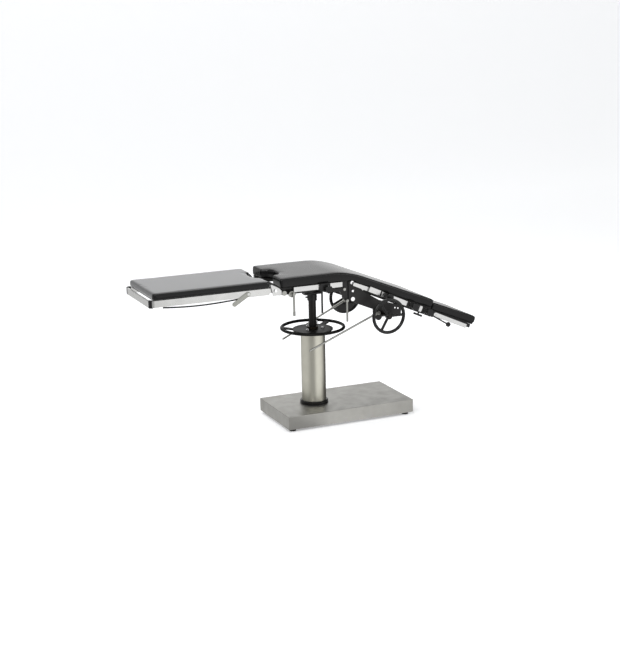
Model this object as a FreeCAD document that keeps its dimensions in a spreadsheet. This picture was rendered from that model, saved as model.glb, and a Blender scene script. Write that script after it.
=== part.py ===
import FreeCAD, Part
import math
import os
import re
import Sketcher

# A hand-driven operating table: a flat base, a screw column raised by a level
# handwheel, and a four-section top whose back and pitch are driven by two
# upright handwheels. Z is up, X runs along the top from the foot end to the
# head end, and the origin is on the floor under the column. Lengths are in
# millimetres.

doc = FreeCAD.newDocument("operating_table")
sheet = doc.addObject("Spreadsheet::Sheet", "Sizes")
size = {}
parts = {}


def sizes(heading, values):
    """Write one group of driving sizes into the sheet, a row for each."""
    row = len(size) + 2
    for alias, value in values.items():
        sheet.set("A%d" % row, heading)
        sheet.set("B%d" % row, str(value))
        sheet.setAlias("B%d" % row, alias)
        size[alias] = value
        row += 1


def levels(heading, datum, values):
    """Write one group of heights: the sheet holds each rise above the datum, and beside it the height
    above the floor that the name stands for."""
    row = len(size) + 2
    for alias, rise in values.items():
        sheet.set("A%d" % row, heading)
        sheet.set("C%d" % row, str(rise))
        sheet.set("B%d" % row, "=%s + C%d" % (datum, row))
        sheet.setAlias("B%d" % row, alias)
        size[alias] = size[datum] + rise
        row += 1


FUNCTIONS = ("sin", "cos", "tan", "asin", "atan", "sqrt")


def formula(text):
    """Point every size named in the text at its cell in the sheet."""
    def cell(found):
        word = found.group(0)
        return word if word in FUNCTIONS else "Sizes." + word
    return re.sub(r"[a-z_][a-z_0-9]*", cell, str(text))


def bind(thing, prop, text):
    """Drive one property of an object by a formula of named sizes."""
    thing.setExpression(prop, formula(text))


def place(thing, x="0", y="0", z="0", axis=None, angle="0"):
    """Put an object at a point, turned by an angle about an axis."""
    if axis:
        thing.Placement = FreeCAD.Placement(FreeCAD.Vector(), FreeCAD.Rotation(FreeCAD.Vector(*axis), 1))
        bind(thing, "Placement.Rotation.Angle", angle)
    bind(thing, "Placement.Base.x", x)
    bind(thing, "Placement.Base.y", y)
    bind(thing, "Placement.Base.z", z)
    return thing


def box(x0, x1, y0, y1, z0, z1):
    """A block between two planes along each axis."""
    block = doc.addObject("Part::Box", "block")
    bind(block, "Length", "(%s) - (%s)" % (x1, x0))
    bind(block, "Width", "(%s) - (%s)" % (y1, y0))
    bind(block, "Height", "(%s) - (%s)" % (z1, z0))
    return place(block, x0, y0, z0)


TURN = {"x": ((0, 1, 0), "90"), "y": ((1, 0, 0), "-90"), "z": (None, "0")}


def rod(axis, radius, start, end, x="0", y="0", z="0"):
    """A round bar along one axis from start to end, through the given point."""
    bar = doc.addObject("Part::Cylinder", "bar")
    bind(bar, "Radius", radius)
    bind(bar, "Height", "(%s) - (%s)" % (end, start))
    at = {"x": x, "y": y, "z": z}
    at[axis] = start
    direction, angle = TURN[axis]
    return place(bar, at["x"], at["y"], at["z"], direction, angle)


def ball(radius, x, y, z):
    sphere = doc.addObject("Part::Sphere", "ball")
    bind(sphere, "Radius", radius)
    return place(sphere, x, y, z)


def fuse(*shapes):
    joined = doc.addObject("Part::MultiFuse", "joined")
    joined.Shapes = list(shapes)
    return joined


def cut(base, *tools):
    """The base with every tool taken out of it."""
    for tool in tools:
        result = doc.addObject("Part::Cut", "cut")
        result.Base = base
        result.Tool = tool
        base = result
    return base


def group(*shapes):
    """Separate solids kept side by side."""
    together = doc.addObject("Part::Compound", "group")
    together.Links = list(shapes)
    return together


def mirrored(shape):
    """The same piece on the far side of the table."""
    twin = doc.addObject("Part::Mirroring", "twin")
    twin.Source = shape
    twin.Normal = (0, 1, 0)
    return twin


def both(shape):
    return group(shape, mirrored(shape))


def body(name):
    return doc.addObject("PartDesign::Body", name)


def sketch(owner, plane):
    """A sketch on one of a body's own origin planes."""
    drawing = owner.newObject("Sketcher::SketchObject", "sketch")
    face = [item for item in owner.Origin.OriginFeatures if item.Role == plane][0]
    drawing.AttachmentSupport = [(face, "")]
    drawing.MapMode = "FlatFace"
    return drawing


def fix_point(drawing, item, end, x, y):
    """Hold one point of the sketch at two driven distances from its origin."""
    for kind, text in (("DistanceX", x), ("DistanceY", y)):
        number = drawing.addConstraint(Sketcher.Constraint(kind, -1, 1, item, end, 1.0))
        bind(drawing, "Constraints[%d]" % number, text)


def outline(drawing, points):
    """A closed outline of straight edges through driven points."""
    count = len(points)
    first = drawing.GeometryCount
    spots = [FreeCAD.Vector(10 * math.cos(2 * math.pi * i / count), 10 * math.sin(2 * math.pi * i / count),
                            0)
             for i in range(count)]
    for i in range(count):
        drawing.addGeometry(Part.LineSegment(spots[i], spots[(i + 1) % count]), False)
    for i in range(count):
        drawing.addConstraint(Sketcher.Constraint("Coincident", first + i, 2, first + (i + 1) % count, 1))
    for i, (x, y) in enumerate(points):
        fix_point(drawing, first + i, 1, x, y)
    return drawing


def circle(drawing, x, y, radius):
    number = drawing.addGeometry(Part.Circle(FreeCAD.Vector(0, 0, 0), FreeCAD.Vector(0, 0, 1), 5), False)
    fix_point(drawing, number, 3, x, y)
    limit = drawing.addConstraint(Sketcher.Constraint("Radius", number, 5.0))
    bind(drawing, "Constraints[%d]" % limit, radius)
    return drawing


def pad(owner, drawing, length, middle=False, back=False):
    feature = owner.newObject("PartDesign::Pad", "pad")
    feature.Profile = drawing
    feature.Midplane = middle
    feature.Reversed = back
    bind(feature, "Length", length)
    return feature


def pocket(owner, drawing, length=None, middle=False, back=False):
    """Take the outline out of the body, right through where no length is given."""
    feature = owner.newObject("PartDesign::Pocket", "pocket")
    feature.Profile = drawing
    feature.Midplane = middle
    feature.Reversed = back
    if length is None:
        feature.Type = "ThroughAll"
    else:
        bind(feature, "Length", length)
    return feature


def revolve(owner, drawing):
    """Turn the outline right round the sketch's upright axis."""
    feature = owner.newObject("PartDesign::Revolution", "turned")
    feature.Profile = drawing
    feature.ReferenceAxis = (drawing, ["V_Axis"])
    feature.Angle = 360
    return feature


def turned(points):
    """A body turned on a lathe from its half profile of radius and height."""
    owner = body("turned")
    revolve(owner, outline(sketch(owner, "XZ_Plane"), points))
    return owner


def slab(points, plane, thickness, middle=False, back=False):
    """A plate of one outline and one thickness."""
    owner = body("plate")
    pad(owner, outline(sketch(owner, plane), points), thickness, middle, back)
    return owner


def side_plate(points, inner, outer):
    """A plate standing on edge on the near side, between two distances from the middle."""
    plate = slab(points, "XZ_Plane", "(%s) - (%s)" % (outer, inner))
    return place(plate, "0", "-(%s)" % inner, "0")


def soften(owner, kind, radius, chosen):
    """Fillet or chamfer the edges of a body that a test picks."""
    doc.recompute()
    tip = owner.Tip
    names = ["Edge%d" % (i + 1) for i, edge in enumerate(tip.Shape.Edges) if chosen(edge)]
    feature = owner.newObject("PartDesign::" + kind, kind.lower())
    feature.Base = (tip, names)
    bind(feature, "Radius" if kind == "Fillet" else "Size", radius)
    return owner


def runs_along(edge, axis):
    """True for a straight edge that lies along x, y or z."""
    if not isinstance(edge.Curve, Part.Line):
        return False
    return abs(getattr(edge.Curve.Direction, axis)) > 0.999


def lies_at(edge, axis, value):
    """True for an edge that lies in the plane where x, y or z has the value."""
    low = getattr(edge.BoundBox, axis.upper() + "Min")
    high = getattr(edge.BoundBox, axis.upper() + "Max")
    return abs(low - value) < 0.01 and abs(high - value) < 0.01


def node(name, shape):
    """Name a finished sub-part and list it for export."""
    shape.Label = name
    parts[name] = shape
    return shape


# General clearances and the material of plates and pins.
GENERAL = {
    "running_gap": 0.05, "part_gap": 0.3, "seat_play": 1.0
}
sizes("general", GENERAL)

# Base: a heavy plate on four feet, under a folded stainless cover.
BASE = {
    "base_length": 861, "base_width": 486, "base_left": 276.5, "base_height": 82, "cover_wall": 2,
    "cover_edge": 3, "plate_thickness": 16, "foot_height": 18, "foot_radius": 21.5, "foot_top_radius": 18.5,
    "foot_inset": 40, "foot_rim": 4, "stud_radius": 6, "stud_length": 13
}
sizes("base", BASE)

# Column: a stainless sleeve round the guide tube in which the lift screw slides.
COLUMN = {
    "sleeve_radius": 77.5, "sleeve_wall": 2, "sleeve_height": 456, "ring_width": 13, "ring_height": 22,
    "tube_radius": 40, "tube_flange_radius": 70, "tube_flange": 10, "bush_wall": 3.5, "bush_length": 46,
    "bush_spread": 170, "cap_thickness": 12, "screw_radius": 24, "screw_bore": 14, "screw_foot": 165,
    "screw_top": 806, "keyway_width": 8, "keyway_depth": 3, "bearing_radius": 60, "bearing_height": 8,
    "lock_ring": 30.5, "lock_ring_height": 40, "peg_radius": 5, "peg_length": 14
}
sizes("column", COLUMN)

# Heights on the lift screw, from its top.
COLUMN_LEVELS = {
    "keyway_top": -58, "lock_ring_bottom": -40
}
levels("column", "screw_top", COLUMN_LEVELS)


def build_base():
    left = "-base_left"
    right = "base_length - base_left"
    top = "foot_height + base_height"
    corners = ((left, "-base_width/2"), (right, "-base_width/2"), (right, "base_width/2"),
               (left, "base_width/2"))
    cover = slab(corners, "XY_Plane", "base_height")
    soften(cover, "Fillet", "cover_edge", lambda edge: runs_along(edge, "z"))
    soften(cover, "Fillet", "cover_edge", lambda edge: lies_at(edge, "z", size["base_height"]))
    inside = outline(sketch(cover, "XY_Plane"), (
        (left + " + cover_wall", "cover_wall - base_width/2"),
        (right + " - cover_wall", "cover_wall - base_width/2"),
        (right + " - cover_wall", "base_width/2 - cover_wall"),
        (left + " + cover_wall", "base_width/2 - cover_wall")))
    pocket(cover, inside, "base_height - cover_wall", back=True)
    pocket(cover, circle(sketch(cover, "XY_Plane"), "0", "0", "tube_radius + seat_play"), back=True)
    node("base_cover", place(cover, "0", "0", "foot_height"))

    inset = "cover_wall + seat_play"
    plate = box(left + " + " + inset, right + " - (" + inset + ")", "%s - base_width/2" % inset,
                "base_width/2 - (%s)" % inset, "foot_height", "foot_height + plate_thickness")
    spots = [(x, y) for x in (left + " + foot_inset", right + " - foot_inset")
             for y in ("foot_inset - base_width/2", "base_width/2 - foot_inset")]
    holes = [rod("z", "stud_radius + running_gap", "0", "foot_height + stud_length + seat_play", x, y)
             for x, y in spots]
    node("base_plate", cut(plate, *holes))

    feet = []
    for x, y in spots:
        foot = turned((("0", "0"), ("foot_radius - 1.5", "0"), ("foot_radius", "1.5"),
                       ("foot_radius", "foot_rim"),
                       ("foot_top_radius", "foot_height - 3"), ("foot_top_radius", "foot_height"),
                       ("stud_radius", "foot_height"), ("stud_radius", "foot_height + stud_length"),
                       ("0", "foot_height + stud_length")))
        feet.append(place(foot, x, y, "0"))
    node("levelling_feet", group(*feet))
    return top


def build_column(top):
    sleeve_top = top + " + sleeve_height"
    outer = rod("z", "sleeve_radius", top, sleeve_top)
    hollow = rod("z", "sleeve_radius - sleeve_wall", top + " - 5", sleeve_top + " + 5")
    node("column_sleeve", cut(outer, hollow))

    inner = "sleeve_radius + running_gap"
    wide = "sleeve_radius + ring_width"
    foot_ring = turned((
        (inner, "0"), (wide, "0"), (wide, "ring_height*0.22"), (wide + " - 4.5", "ring_height*0.34"),
        (wide + " - 4.5", "ring_height*0.55"), (wide + " - 1.5", "ring_height*0.62"),
        (wide + " - 1.5", "ring_height*0.85"), (wide + " - 6", "ring_height"), (inner, "ring_height")))
    node("column_foot_ring", place(foot_ring, "0", "0", top))

    plate_top = "foot_height + plate_thickness"
    bore = "screw_radius + bush_wall"
    tube_top = sleeve_top + " - cap_thickness"
    tube = turned(((bore, plate_top), ("tube_flange_radius", plate_top),
                   ("tube_flange_radius", plate_top + " + tube_flange"),
                   ("tube_radius + 6", plate_top + " + tube_flange"),
                   ("tube_radius", plate_top + " + tube_flange + 6"), ("tube_radius", tube_top),
                   (bore, tube_top)))
    node("guide_tube", tube)

    bushes = []
    for end in (tube_top, tube_top + " - bush_spread"):
        shell = rod("z", bore, end + " - bush_length", end)
        hole = rod("z", "screw_radius + running_gap", end + " - bush_length - 5", end + " + 5")
        bushes.append(cut(shell, hole))
    node("guide_bushes", group(*bushes))

    cap = rod("z", "sleeve_radius - sleeve_wall - running_gap", tube_top, sleeve_top)
    cap_hole = rod("z", "screw_radius + seat_play", tube_top + " - 5", sleeve_top + " + 5")
    key_slot = box("-keyway_width/2", "keyway_width/2", "-(screw_radius + bush_wall)", "0",
                   tube_top + " - 5",
                   sleeve_top + " + 5")
    key = box("running_gap - keyway_width/2", "keyway_width/2 - running_gap", "-(screw_radius + bush_wall)",
              "keyway_depth - part_gap - screw_radius", tube_top + " + running_gap", sleeve_top)

    race = turned((("screw_radius + 8", "0"), ("bearing_radius", "0"),
                   ("bearing_radius", "bearing_height*0.4"),
                   ("bearing_radius - 2", "bearing_height*0.4"),
                   ("bearing_radius - 2", "bearing_height*0.6"),
                   ("bearing_radius", "bearing_height*0.6"), ("bearing_radius", "bearing_height"),
                   ("screw_radius + 8", "bearing_height")))
    place(race, "0", "0", sleeve_top)
    node("column_cap", group(cut(cap, cap_hole, key_slot), key, race))
    return sleeve_top


# Level handwheel: a dished hub on the thrust bearing, three broad spokes and a round rim.
LIFT_WHEEL = {
    "wheel_radius": 197, "wheel_rim": 9.8, "rim_rise": 26.7, "hub_radius": 77, "hub_height": 20,
    "hub_flare": 128, "web_thickness": 7, "nut_radius": 34, "nut_height": 34, "spoke_width": 34,
    "spoke_turn": 36.7, "dome_radius": 12, "dome_circle": 63, "lock_pin_radius": 9, "lock_pin_height": 40
}
sizes("lift wheel", LIFT_WHEEL)


def build_lift_wheel(sleeve_top):
    bottom = "(" + sleeve_top + " + bearing_height + part_gap)"
    rim_z = "rim_rise"
    wheel = body("wheel")
    revolve(wheel, outline(sketch(wheel, "XZ_Plane"), (
        ("nut_radius", "0"), ("bearing_radius + 4", "0"), ("bearing_radius + 4", "-bearing_height*0.7"),
        ("hub_radius", "-bearing_height*0.7"), ("hub_radius + 3", "hub_height*0.45"),
        ("hub_flare", rim_z + " - 15"), ("hub_flare", rim_z + " - 15 + web_thickness"),
        ("hub_radius", "hub_height"), ("nut_radius", "hub_height"))))
    arm = outline(sketch(wheel, "XZ_Plane"), (
        ("hub_flare - 8", rim_z + " - 16"), ("wheel_radius", rim_z + " - wheel_rim*0.6"),
        ("wheel_radius", rim_z + " + wheel_rim*0.4"), ("hub_flare - 8",
                                                       rim_z + " - 10 + web_thickness*0.3")))
    spoke = pad(wheel, arm, "spoke_width", middle=True)
    pattern = wheel.newObject("PartDesign::PolarPattern", "spokes")
    pattern.Originals = [spoke]
    pattern.Axis = ([item for item in wheel.Origin.OriginFeatures if item.Role == "Z_Axis"][0], [""])
    pattern.Angle = 360
    pattern.Occurrences = 3
    wheel.Tip = pattern
    revolve(wheel, circle(sketch(wheel, "XZ_Plane"), "wheel_radius", rim_z, "wheel_rim"))
    node("lift_handwheel", place(wheel, "0", "0", bottom, (0, 0, 1), "spoke_turn"))

    nut = cut(rod("z", "nut_radius", bottom, bottom + " + nut_height"),
              rod("z", "screw_radius + running_gap", bottom + " - 5", bottom + " + nut_height + 5"))
    node("lift_nut", nut)

    domes = []
    for turn in (60, 180, 300):
        dome = turned((("0", "0"), ("dome_radius", "0"), ("dome_radius", "3"),
                       ("dome_radius*0.8", "dome_radius*0.55"),
                       ("dome_radius*0.45", "dome_radius*0.76"), ("0", "dome_radius*0.82")))
        angle = "(spoke_turn + %d)" % turn
        domes.append(place(dome, "dome_circle*cos(%s)" % angle, "dome_circle*sin(%s)" % angle,
                           bottom + " + hub_height"))
    pin = turned((("0", "0"), ("lock_pin_radius", "0"), ("lock_pin_radius", "8"),
                  ("lock_pin_radius*0.55", "12"),
                  ("lock_pin_radius*0.55", "lock_pin_height*0.6"),
                  ("lock_pin_radius*0.9", "lock_pin_height*0.7"),
                  ("lock_pin_radius*0.9", "lock_pin_height - 3"), ("lock_pin_radius*0.5", "lock_pin_height"),
                  ("0", "lock_pin_height")))
    place(pin, "dome_circle*cos(spoke_turn)*0.8", "dome_circle*sin(spoke_turn)*0.8",
          bottom + " + hub_height")
    node("wheel_nuts_and_pin", group(pin, *domes))


# Lift screw and the tilting head on top of it.
TILTING_HEAD = {
    "tilt_pin": 11, "tilt_reach": 46, "ear_thickness": 12, "ear_radius": 20, "head_base": 10,
    "head_half": 40, "block_half_x": 22, "block_half_y": 44, "axle_radius": 12, "block_half_z": 16
}
sizes("tilting head", TILTING_HEAD)

# Height of the sideways tilting pin, from the top of the screw.
TILT_LEVEL = {
    "tilt_height": 30
}
levels("tilting head", "screw_top", TILT_LEVEL)

# Height of the cross axle, from the tilting pin.
AXLE_LEVEL = {
    "axle_height": 44
}
levels("tilting head", "tilt_height", AXLE_LEVEL)

# Seat frame: two side bars on edge, joined by cross bars, that rock on the cross axle.
SEAT_FRAME = {
    "bar_inner": 200, "plate_step": 8, "board_thickness": 11.7, "seat_left": -308, "seat_right": 150,
    "cross_width": 28, "cross_left": -285, "cross_middle": -115, "axle_boss": 24, "board_margin": 6
}
sizes("seat frame", SEAT_FRAME)

# Heights of the seat frame, from the cross axle.
SEAT_LEVELS = {
    "bar_bottom": -12, "board_top": 36.7
}
levels("seat frame", "axle_height", SEAT_LEVELS)

# Back hinge and the slope at which the back section rests.
BACK_HINGE = {
    "hinge_x": 172, "back_slope": 22.2, "rail_droop": 2.5, "hinge_radius": 8, "hinge_boss": 11.5
}
sizes("back hinge", BACK_HINGE)

# Height of the back hinge, from the cross axle.
HINGE_LEVEL = {
    "hinge_z": 22
}
levels("back hinge", "axle_height", HINGE_LEVEL)

# Accessory rails and what holds them.
RAILS = {
    "rail_inner": 232, "rail_thickness": 10, "rail_half": 15, "spacer_radius": 7, "seat_rail_left": -223,
    "seat_rail_right": 100
}
sizes("rails", RAILS)

# Height of the seat rails, from the cross axle.
RAIL_LEVEL = {
    "seat_rail_z": 21
}
levels("rails", "axle_height", RAIL_LEVEL)


def side_levels():
    """Distances from the middle of the plates that lie side by side."""
    return "bar_inner", "bar_inner + plate_step", "bar_inner + 2*plate_step", "bar_inner + 3*plate_step"


def build_lift_screw():
    screw = rod("z", "screw_radius", "screw_foot", "screw_top")
    hollow = rod("z", "screw_bore", "screw_foot - 5", "screw_top - 30")
    keyway = box("-keyway_width/2", "keyway_width/2", "-(screw_radius + 5)", "keyway_depth - screw_radius",
                 "screw_foot - 5", "keyway_top")
    node("lift_screw", cut(screw, hollow, keyway))
    ring = cut(rod("z", "lock_ring", "lock_ring_bottom", "lock_ring_bottom + lock_ring_height"),
               rod("z", "screw_radius", "lock_ring_bottom - 5", "lock_ring_bottom + lock_ring_height + 5"))
    peg_z = "lock_ring_bottom + lock_ring_height*0.55"
    peg = rod("x", "peg_radius", "-(lock_ring + peg_length)", "-screw_radius - 1", z=peg_z)
    ring = cut(ring, rod("x", "peg_radius", "-(lock_ring + peg_length)", "-screw_radius + 2", z=peg_z))
    node("lock_ring", group(ring, peg))

    base = box("-(tilt_reach + ear_thickness)", "tilt_reach + ear_thickness", "-head_half*0.6",
               "head_half*0.6",
               "screw_top", "screw_top + head_base")
    ears = []
    for low, high in (("-(tilt_reach + ear_thickness)", "-tilt_reach"),
                      ("tilt_reach", "tilt_reach + ear_thickness")):
        plate = box(low, high, "-ear_radius", "ear_radius", "screw_top", "tilt_height")
        crown = rod("x", "ear_radius", low, high, z="tilt_height")
        ears += [plate, crown]
    bore = rod("x", "tilt_pin + running_gap", "-(tilt_reach + 20)", "tilt_reach + 20", z="tilt_height")
    node("tilt_fork", cut(fuse(base, *ears), bore))

    pin = rod("x", "tilt_pin", "-(tilt_reach + ear_thickness + 6)", "tilt_reach + ear_thickness + 6",
              z="tilt_height")
    lug_reach = "tilt_reach - part_gap"
    lug = rod("x", "ear_radius - 1", "-(%s)" % lug_reach, lug_reach, z="tilt_height")
    web = box("-(%s)" % lug_reach, lug_reach, "-(ear_radius - 1)", "ear_radius - 1", "tilt_height",
              "axle_height")
    cap = box("-block_half_x", "block_half_x", "-block_half_y", "block_half_y", "axle_height - block_half_z",
              "axle_height + block_half_z")
    block = cut(fuse(lug, web, cap), rod("x", "tilt_pin", "-80", "80", z="tilt_height"),
                rod("y", "axle_radius", "-80", "80", z="axle_height"))
    node("tilt_block", group(block, pin))
    reach = "bar_inner + plate_step + 6"
    axle = rod("y", "axle_radius", "-(%s)" % reach, reach, z="axle_height")
    node("pitch_axle", axle)


def build_seat_frame():
    inner, gusset, arm, outer = side_levels()
    top = "board_top - board_thickness"
    bar = side_plate((("seat_left", "bar_bottom"), ("seat_right", "bar_bottom"), ("seat_right", top),
                      ("seat_left", top)), inner, gusset)
    boss = rod("y", "axle_boss", "-(%s)" % gusset, "-(%s)" % inner, z="axle_height")
    near = cut(fuse(bar, boss), rod("y", "axle_radius + running_gap", "-(%s) - 5" % gusset,
                                    "5 - (%s)" % inner,
                                    z="axle_height"),
               box("-axle_boss", "axle_boss", "-(%s) - 5" % gusset, "5 - (%s)" % inner, top, top + " + 20"))
    cross = [box(x + " - cross_width/2", x + " + cross_width/2", "-bar_inner", "bar_inner", "bar_bottom + 4",
                 top)
             for x in ("cross_left", "cross_middle")]
    node("seat_frame", fuse(near, mirrored(near), *cross))

    board = slab((("seat_left + 6", "-(rail_inner - board_margin)"),
                  ("gusset_left - 2", "-(rail_inner - board_margin)"),
                  ("gusset_left - 2", "-(%s - 1)" % gusset), ("seat_right", "-(%s - 1)" % gusset),
                  ("seat_right", "%s - 1" % gusset), ("gusset_left - 2", "%s - 1" % gusset),
                  ("gusset_left - 2", "(rail_inner - board_margin)"),
                  ("seat_left + 6", "(rail_inner - board_margin)"),
                  ("seat_left + 6", "notch_half"), ("seat_left + notch_depth + 6", "notch_half*0.45"),
                  ("seat_left + notch_depth + 6", "-notch_half*0.45"), ("seat_left + 6", "-notch_half")),
                 "XY_Plane", "board_thickness")
    node("seat_board", place(board, "0", "0", top))

    outside = "rail_inner + rail_thickness"
    rail = box("seat_rail_left", "seat_rail_right", "-(%s)" % outside, "-rail_inner",
               "seat_rail_z - rail_half",
               "seat_rail_z + rail_half")
    spacers = []
    for x in ("seat_rail_left + 18", "-64", "48"):
        spacers.append(rod("y", "spacer_radius", "-rail_inner", "-(%s)" % gusset, x, z="seat_rail_z - 12"))
    node("seat_rails", both(group(rail, *spacers)))


# Gussets carry the back hinge; the arms run on from them to the gear housings.
GUSSETS = {
    "gusset_left": 84, "gusset_foot_x": 141, "gusset_right": 166, "arm_top_x": 183, "arm_mid_x": 236,
    "arm_end_x": 360, "lobe_right": 514, "lobe_left": 338, "boss_back": 21, "boss_drop": 22,
    "boss_radius": 22, "guard_back": 34, "guard_radius": 84, "guard_plate": 6, "guard_gap": 3,
    "guard_rise": 14, "guard_post": 10, "guard_post_on": 30, "guard_post_drop": 10, "arm_low_x": 204,
    "bolt_x": 176, "bolt_small": 7, "bolt_large": 13, "bolt_head": 5
}
sizes("gussets", GUSSETS)

# Heights of the gussets and arms, from the back hinge.
GUSSET_LEVELS = {
    "gusset_top": 12, "gusset_foot_z": -119, "arm_top_z": -6, "arm_mid_z": -56, "arm_end_z": -131,
    "arm_low_z": -137, "bolt_middle": -53, "bolt_low": -104
}
levels("gussets", "hinge_z", GUSSET_LEVELS)

# Gear housings at the ends of the arms, their handwheels and shafts.
SIDE_WHEELS = {
    "shaft_x": 376, "shaft_radius": 9, "housing_left": 350, "housing_right": 500, "housing_depth": 70,
    "housing_round": 9, "side_wheel_radius": 103, "side_wheel_rim": 10.3, "side_wheel_at": 322,
    "side_hub_radius": 19, "side_hub_length": 30, "side_spoke": 8.5, "cross_tube_x": 462,
    "cross_tube_radius": 19
}
sizes("side wheels", SIDE_WHEELS)

# Height of the side wheels' shafts, from the back hinge.
SHAFT_LEVEL = {
    "shaft_z": -216
}
levels("side wheels", "hinge_z", SHAFT_LEVEL)

# Heights of the arms' broad ends, from the shafts.
LOBE_LEVELS = {
    "lobe_top": 36, "lobe_bottom": -24
}
levels("gussets", "shaft_z", LOBE_LEVELS)

# Heights of the gear housings, from the shafts.
HOUSING_LEVELS = {
    "housing_bottom": -18, "housing_top_left": 66, "housing_top_right": 18, "cross_tube_z": 8
}
levels("side wheels", "shaft_z", HOUSING_LEVELS)


def build_gussets():
    inner, gusset, arm, outer = side_levels()
    hinge_hole = rod("y", "hinge_radius + running_gap", "-(%s) - 5" % outer, "5 - (%s)" % inner, "hinge_x",
                     z="hinge_z")
    plate = side_plate((("gusset_left + 20", "gusset_top"), ("gusset_left", "gusset_top - 30"),
                        ("gusset_left", "gusset_top - 46"), ("gusset_foot_x - 12", "gusset_foot_z + 6"),
                        ("gusset_foot_x - 4", "gusset_foot_z"), ("gusset_foot_x + 6", "gusset_foot_z"),
                        ("gusset_right", "gusset_foot_z + 12"), ("bolt_x + 14", "bolt_low - 8"),
                        ("bolt_x + 14", "hinge_z - 9"), ("hinge_x + 13", "hinge_z + 1"),
                        ("hinge_x + 7", "hinge_z + 8"), ("hinge_x - 6", "gusset_top")), gusset, arm)
    bolt_holes = [rod("y", "6 + running_gap", "-(%s) - 5" % outer, "5 - (%s)" % gusset, "bolt_x", z=z)
                  for z in ("bolt_middle", "bolt_low")]
    near = cut(plate, hinge_hole, *bolt_holes)
    node("hinge_gussets", both(near))

    arm_plate = side_plate((("gusset_left + 66", "gusset_top - 4"), ("hinge_x - 6", "gusset_top - 2"),
                            ("hinge_x + 6", "hinge_z + 8"), ("arm_top_x", "arm_top_z"),
                            ("arm_mid_x", "arm_mid_z"), ("arm_end_x", "arm_end_z"),
                            ("lobe_right - 10", "lobe_top"), ("lobe_right", "lobe_top - 12"),
                            ("lobe_right - 4", "lobe_bottom + 8"), ("lobe_right - 14", "lobe_bottom"),
                            ("lobe_left + 14", "lobe_bottom"), ("lobe_left", "lobe_bottom + 12"),
                            ("lobe_left - 6", "lobe_top - 12"), ("arm_low_x", "arm_low_z"),
                            ("gusset_left + 66", "gusset_foot_z + 16")), arm, outer)
    boss = rod("y", "boss_radius", "-(%s)" % outer, "-(%s)" % arm, "shaft_x - boss_back",
               z="shaft_z - boss_drop")
    near_arm = cut(fuse(arm_plate, boss), hinge_hole, *bolt_holes,
                   rod("y", "shaft_radius + seat_play", "-(%s) - 5" % outer, "5 - (%s)" % arm, "shaft_x",
                       z="shaft_z"))
    guard_face = "(%s + lever_stack + guard_gap)" % outer
    guard = rod("y", "guard_radius", "-(%s + guard_plate)" % guard_face, "-" + guard_face,
                "shaft_x - guard_back", z="shaft_z")
    post = rod("y", "guard_post", "-(%s + 1)" % guard_face, "-(%s)" % outer, "shaft_x + guard_post_on",
               z="shaft_z - guard_post_drop")
    above = box("-2*guard_radius", "3*guard_radius", "-(%s + 2*guard_plate)" % guard_face,
                "guard_plate - " + guard_face, "guard_rise", "3*guard_radius")
    above = place(group(above), "far_lever_x", "0", "far_lever_z", (0, 1, 0), "-far_lever_slope")
    guard = cut(fuse(guard, post), above, rod("y", "shaft_radius + seat_play", "-300", "-(%s)" % outer,
                                              "shaft_x",
                                              z="shaft_z"))
    node("drive_arms", group(near_arm, mirrored(near_arm), mirrored(guard)))

    pin = rod("y", "hinge_radius", "-(%s)" % outer, "-(bar_inner - plate_step - 4)", "hinge_x", z="hinge_z")
    head = rod("y", "hinge_radius + 3", "-(%s + bolt_head)" % outer, "-(%s)" % outer, "hinge_x", z="hinge_z")
    bolts = [fuse(pin, head)]
    for z, wide in (("bolt_middle", "bolt_small"), ("bolt_low", "bolt_large")):
        shank = rod("y", "6", "-(%s)" % outer, "-(%s)" % gusset, "bolt_x", z=z)
        cap = rod("y", wide, "-(%s + bolt_head)" % outer, "-(%s)" % outer, "bolt_x", z=z)
        bolts.append(fuse(shank, cap))
    node("gusset_bolts", both(group(*bolts)))


def gear_housing(near):
    """One cast housing with its shaft bore, on the inside of its arm."""
    inner, gusset, arm, outer = side_levels()
    case = side_plate((("housing_left", "housing_bottom"), ("housing_right", "housing_bottom"),
                       ("housing_right", "housing_top_right"), ("housing_left + 26", "housing_top_left"),
                       ("housing_left", "housing_top_left")), arm + " - housing_depth", arm)
    soften(case, "Fillet", "housing_round", lambda edge: runs_along(edge, "y"))
    bore = rod("y", "shaft_radius + running_gap", "-(%s) - 5" % arm, "10 - (%s - housing_depth)" % arm,
               "shaft_x",
               z="shaft_z")
    lid = box("housing_left + 14", "housing_right - 14", "-(%s - housing_depth)" % arm,
              "6 - (%s - housing_depth)" % arm, "housing_bottom + 10", "housing_top_right - 10")
    lid = cut(lid, rod("y", "shaft_radius + seat_play", "-300", "0", "shaft_x", z="shaft_z"))
    whole = fuse(cut(case, bore), lid)
    return whole if near else mirrored(whole)


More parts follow.
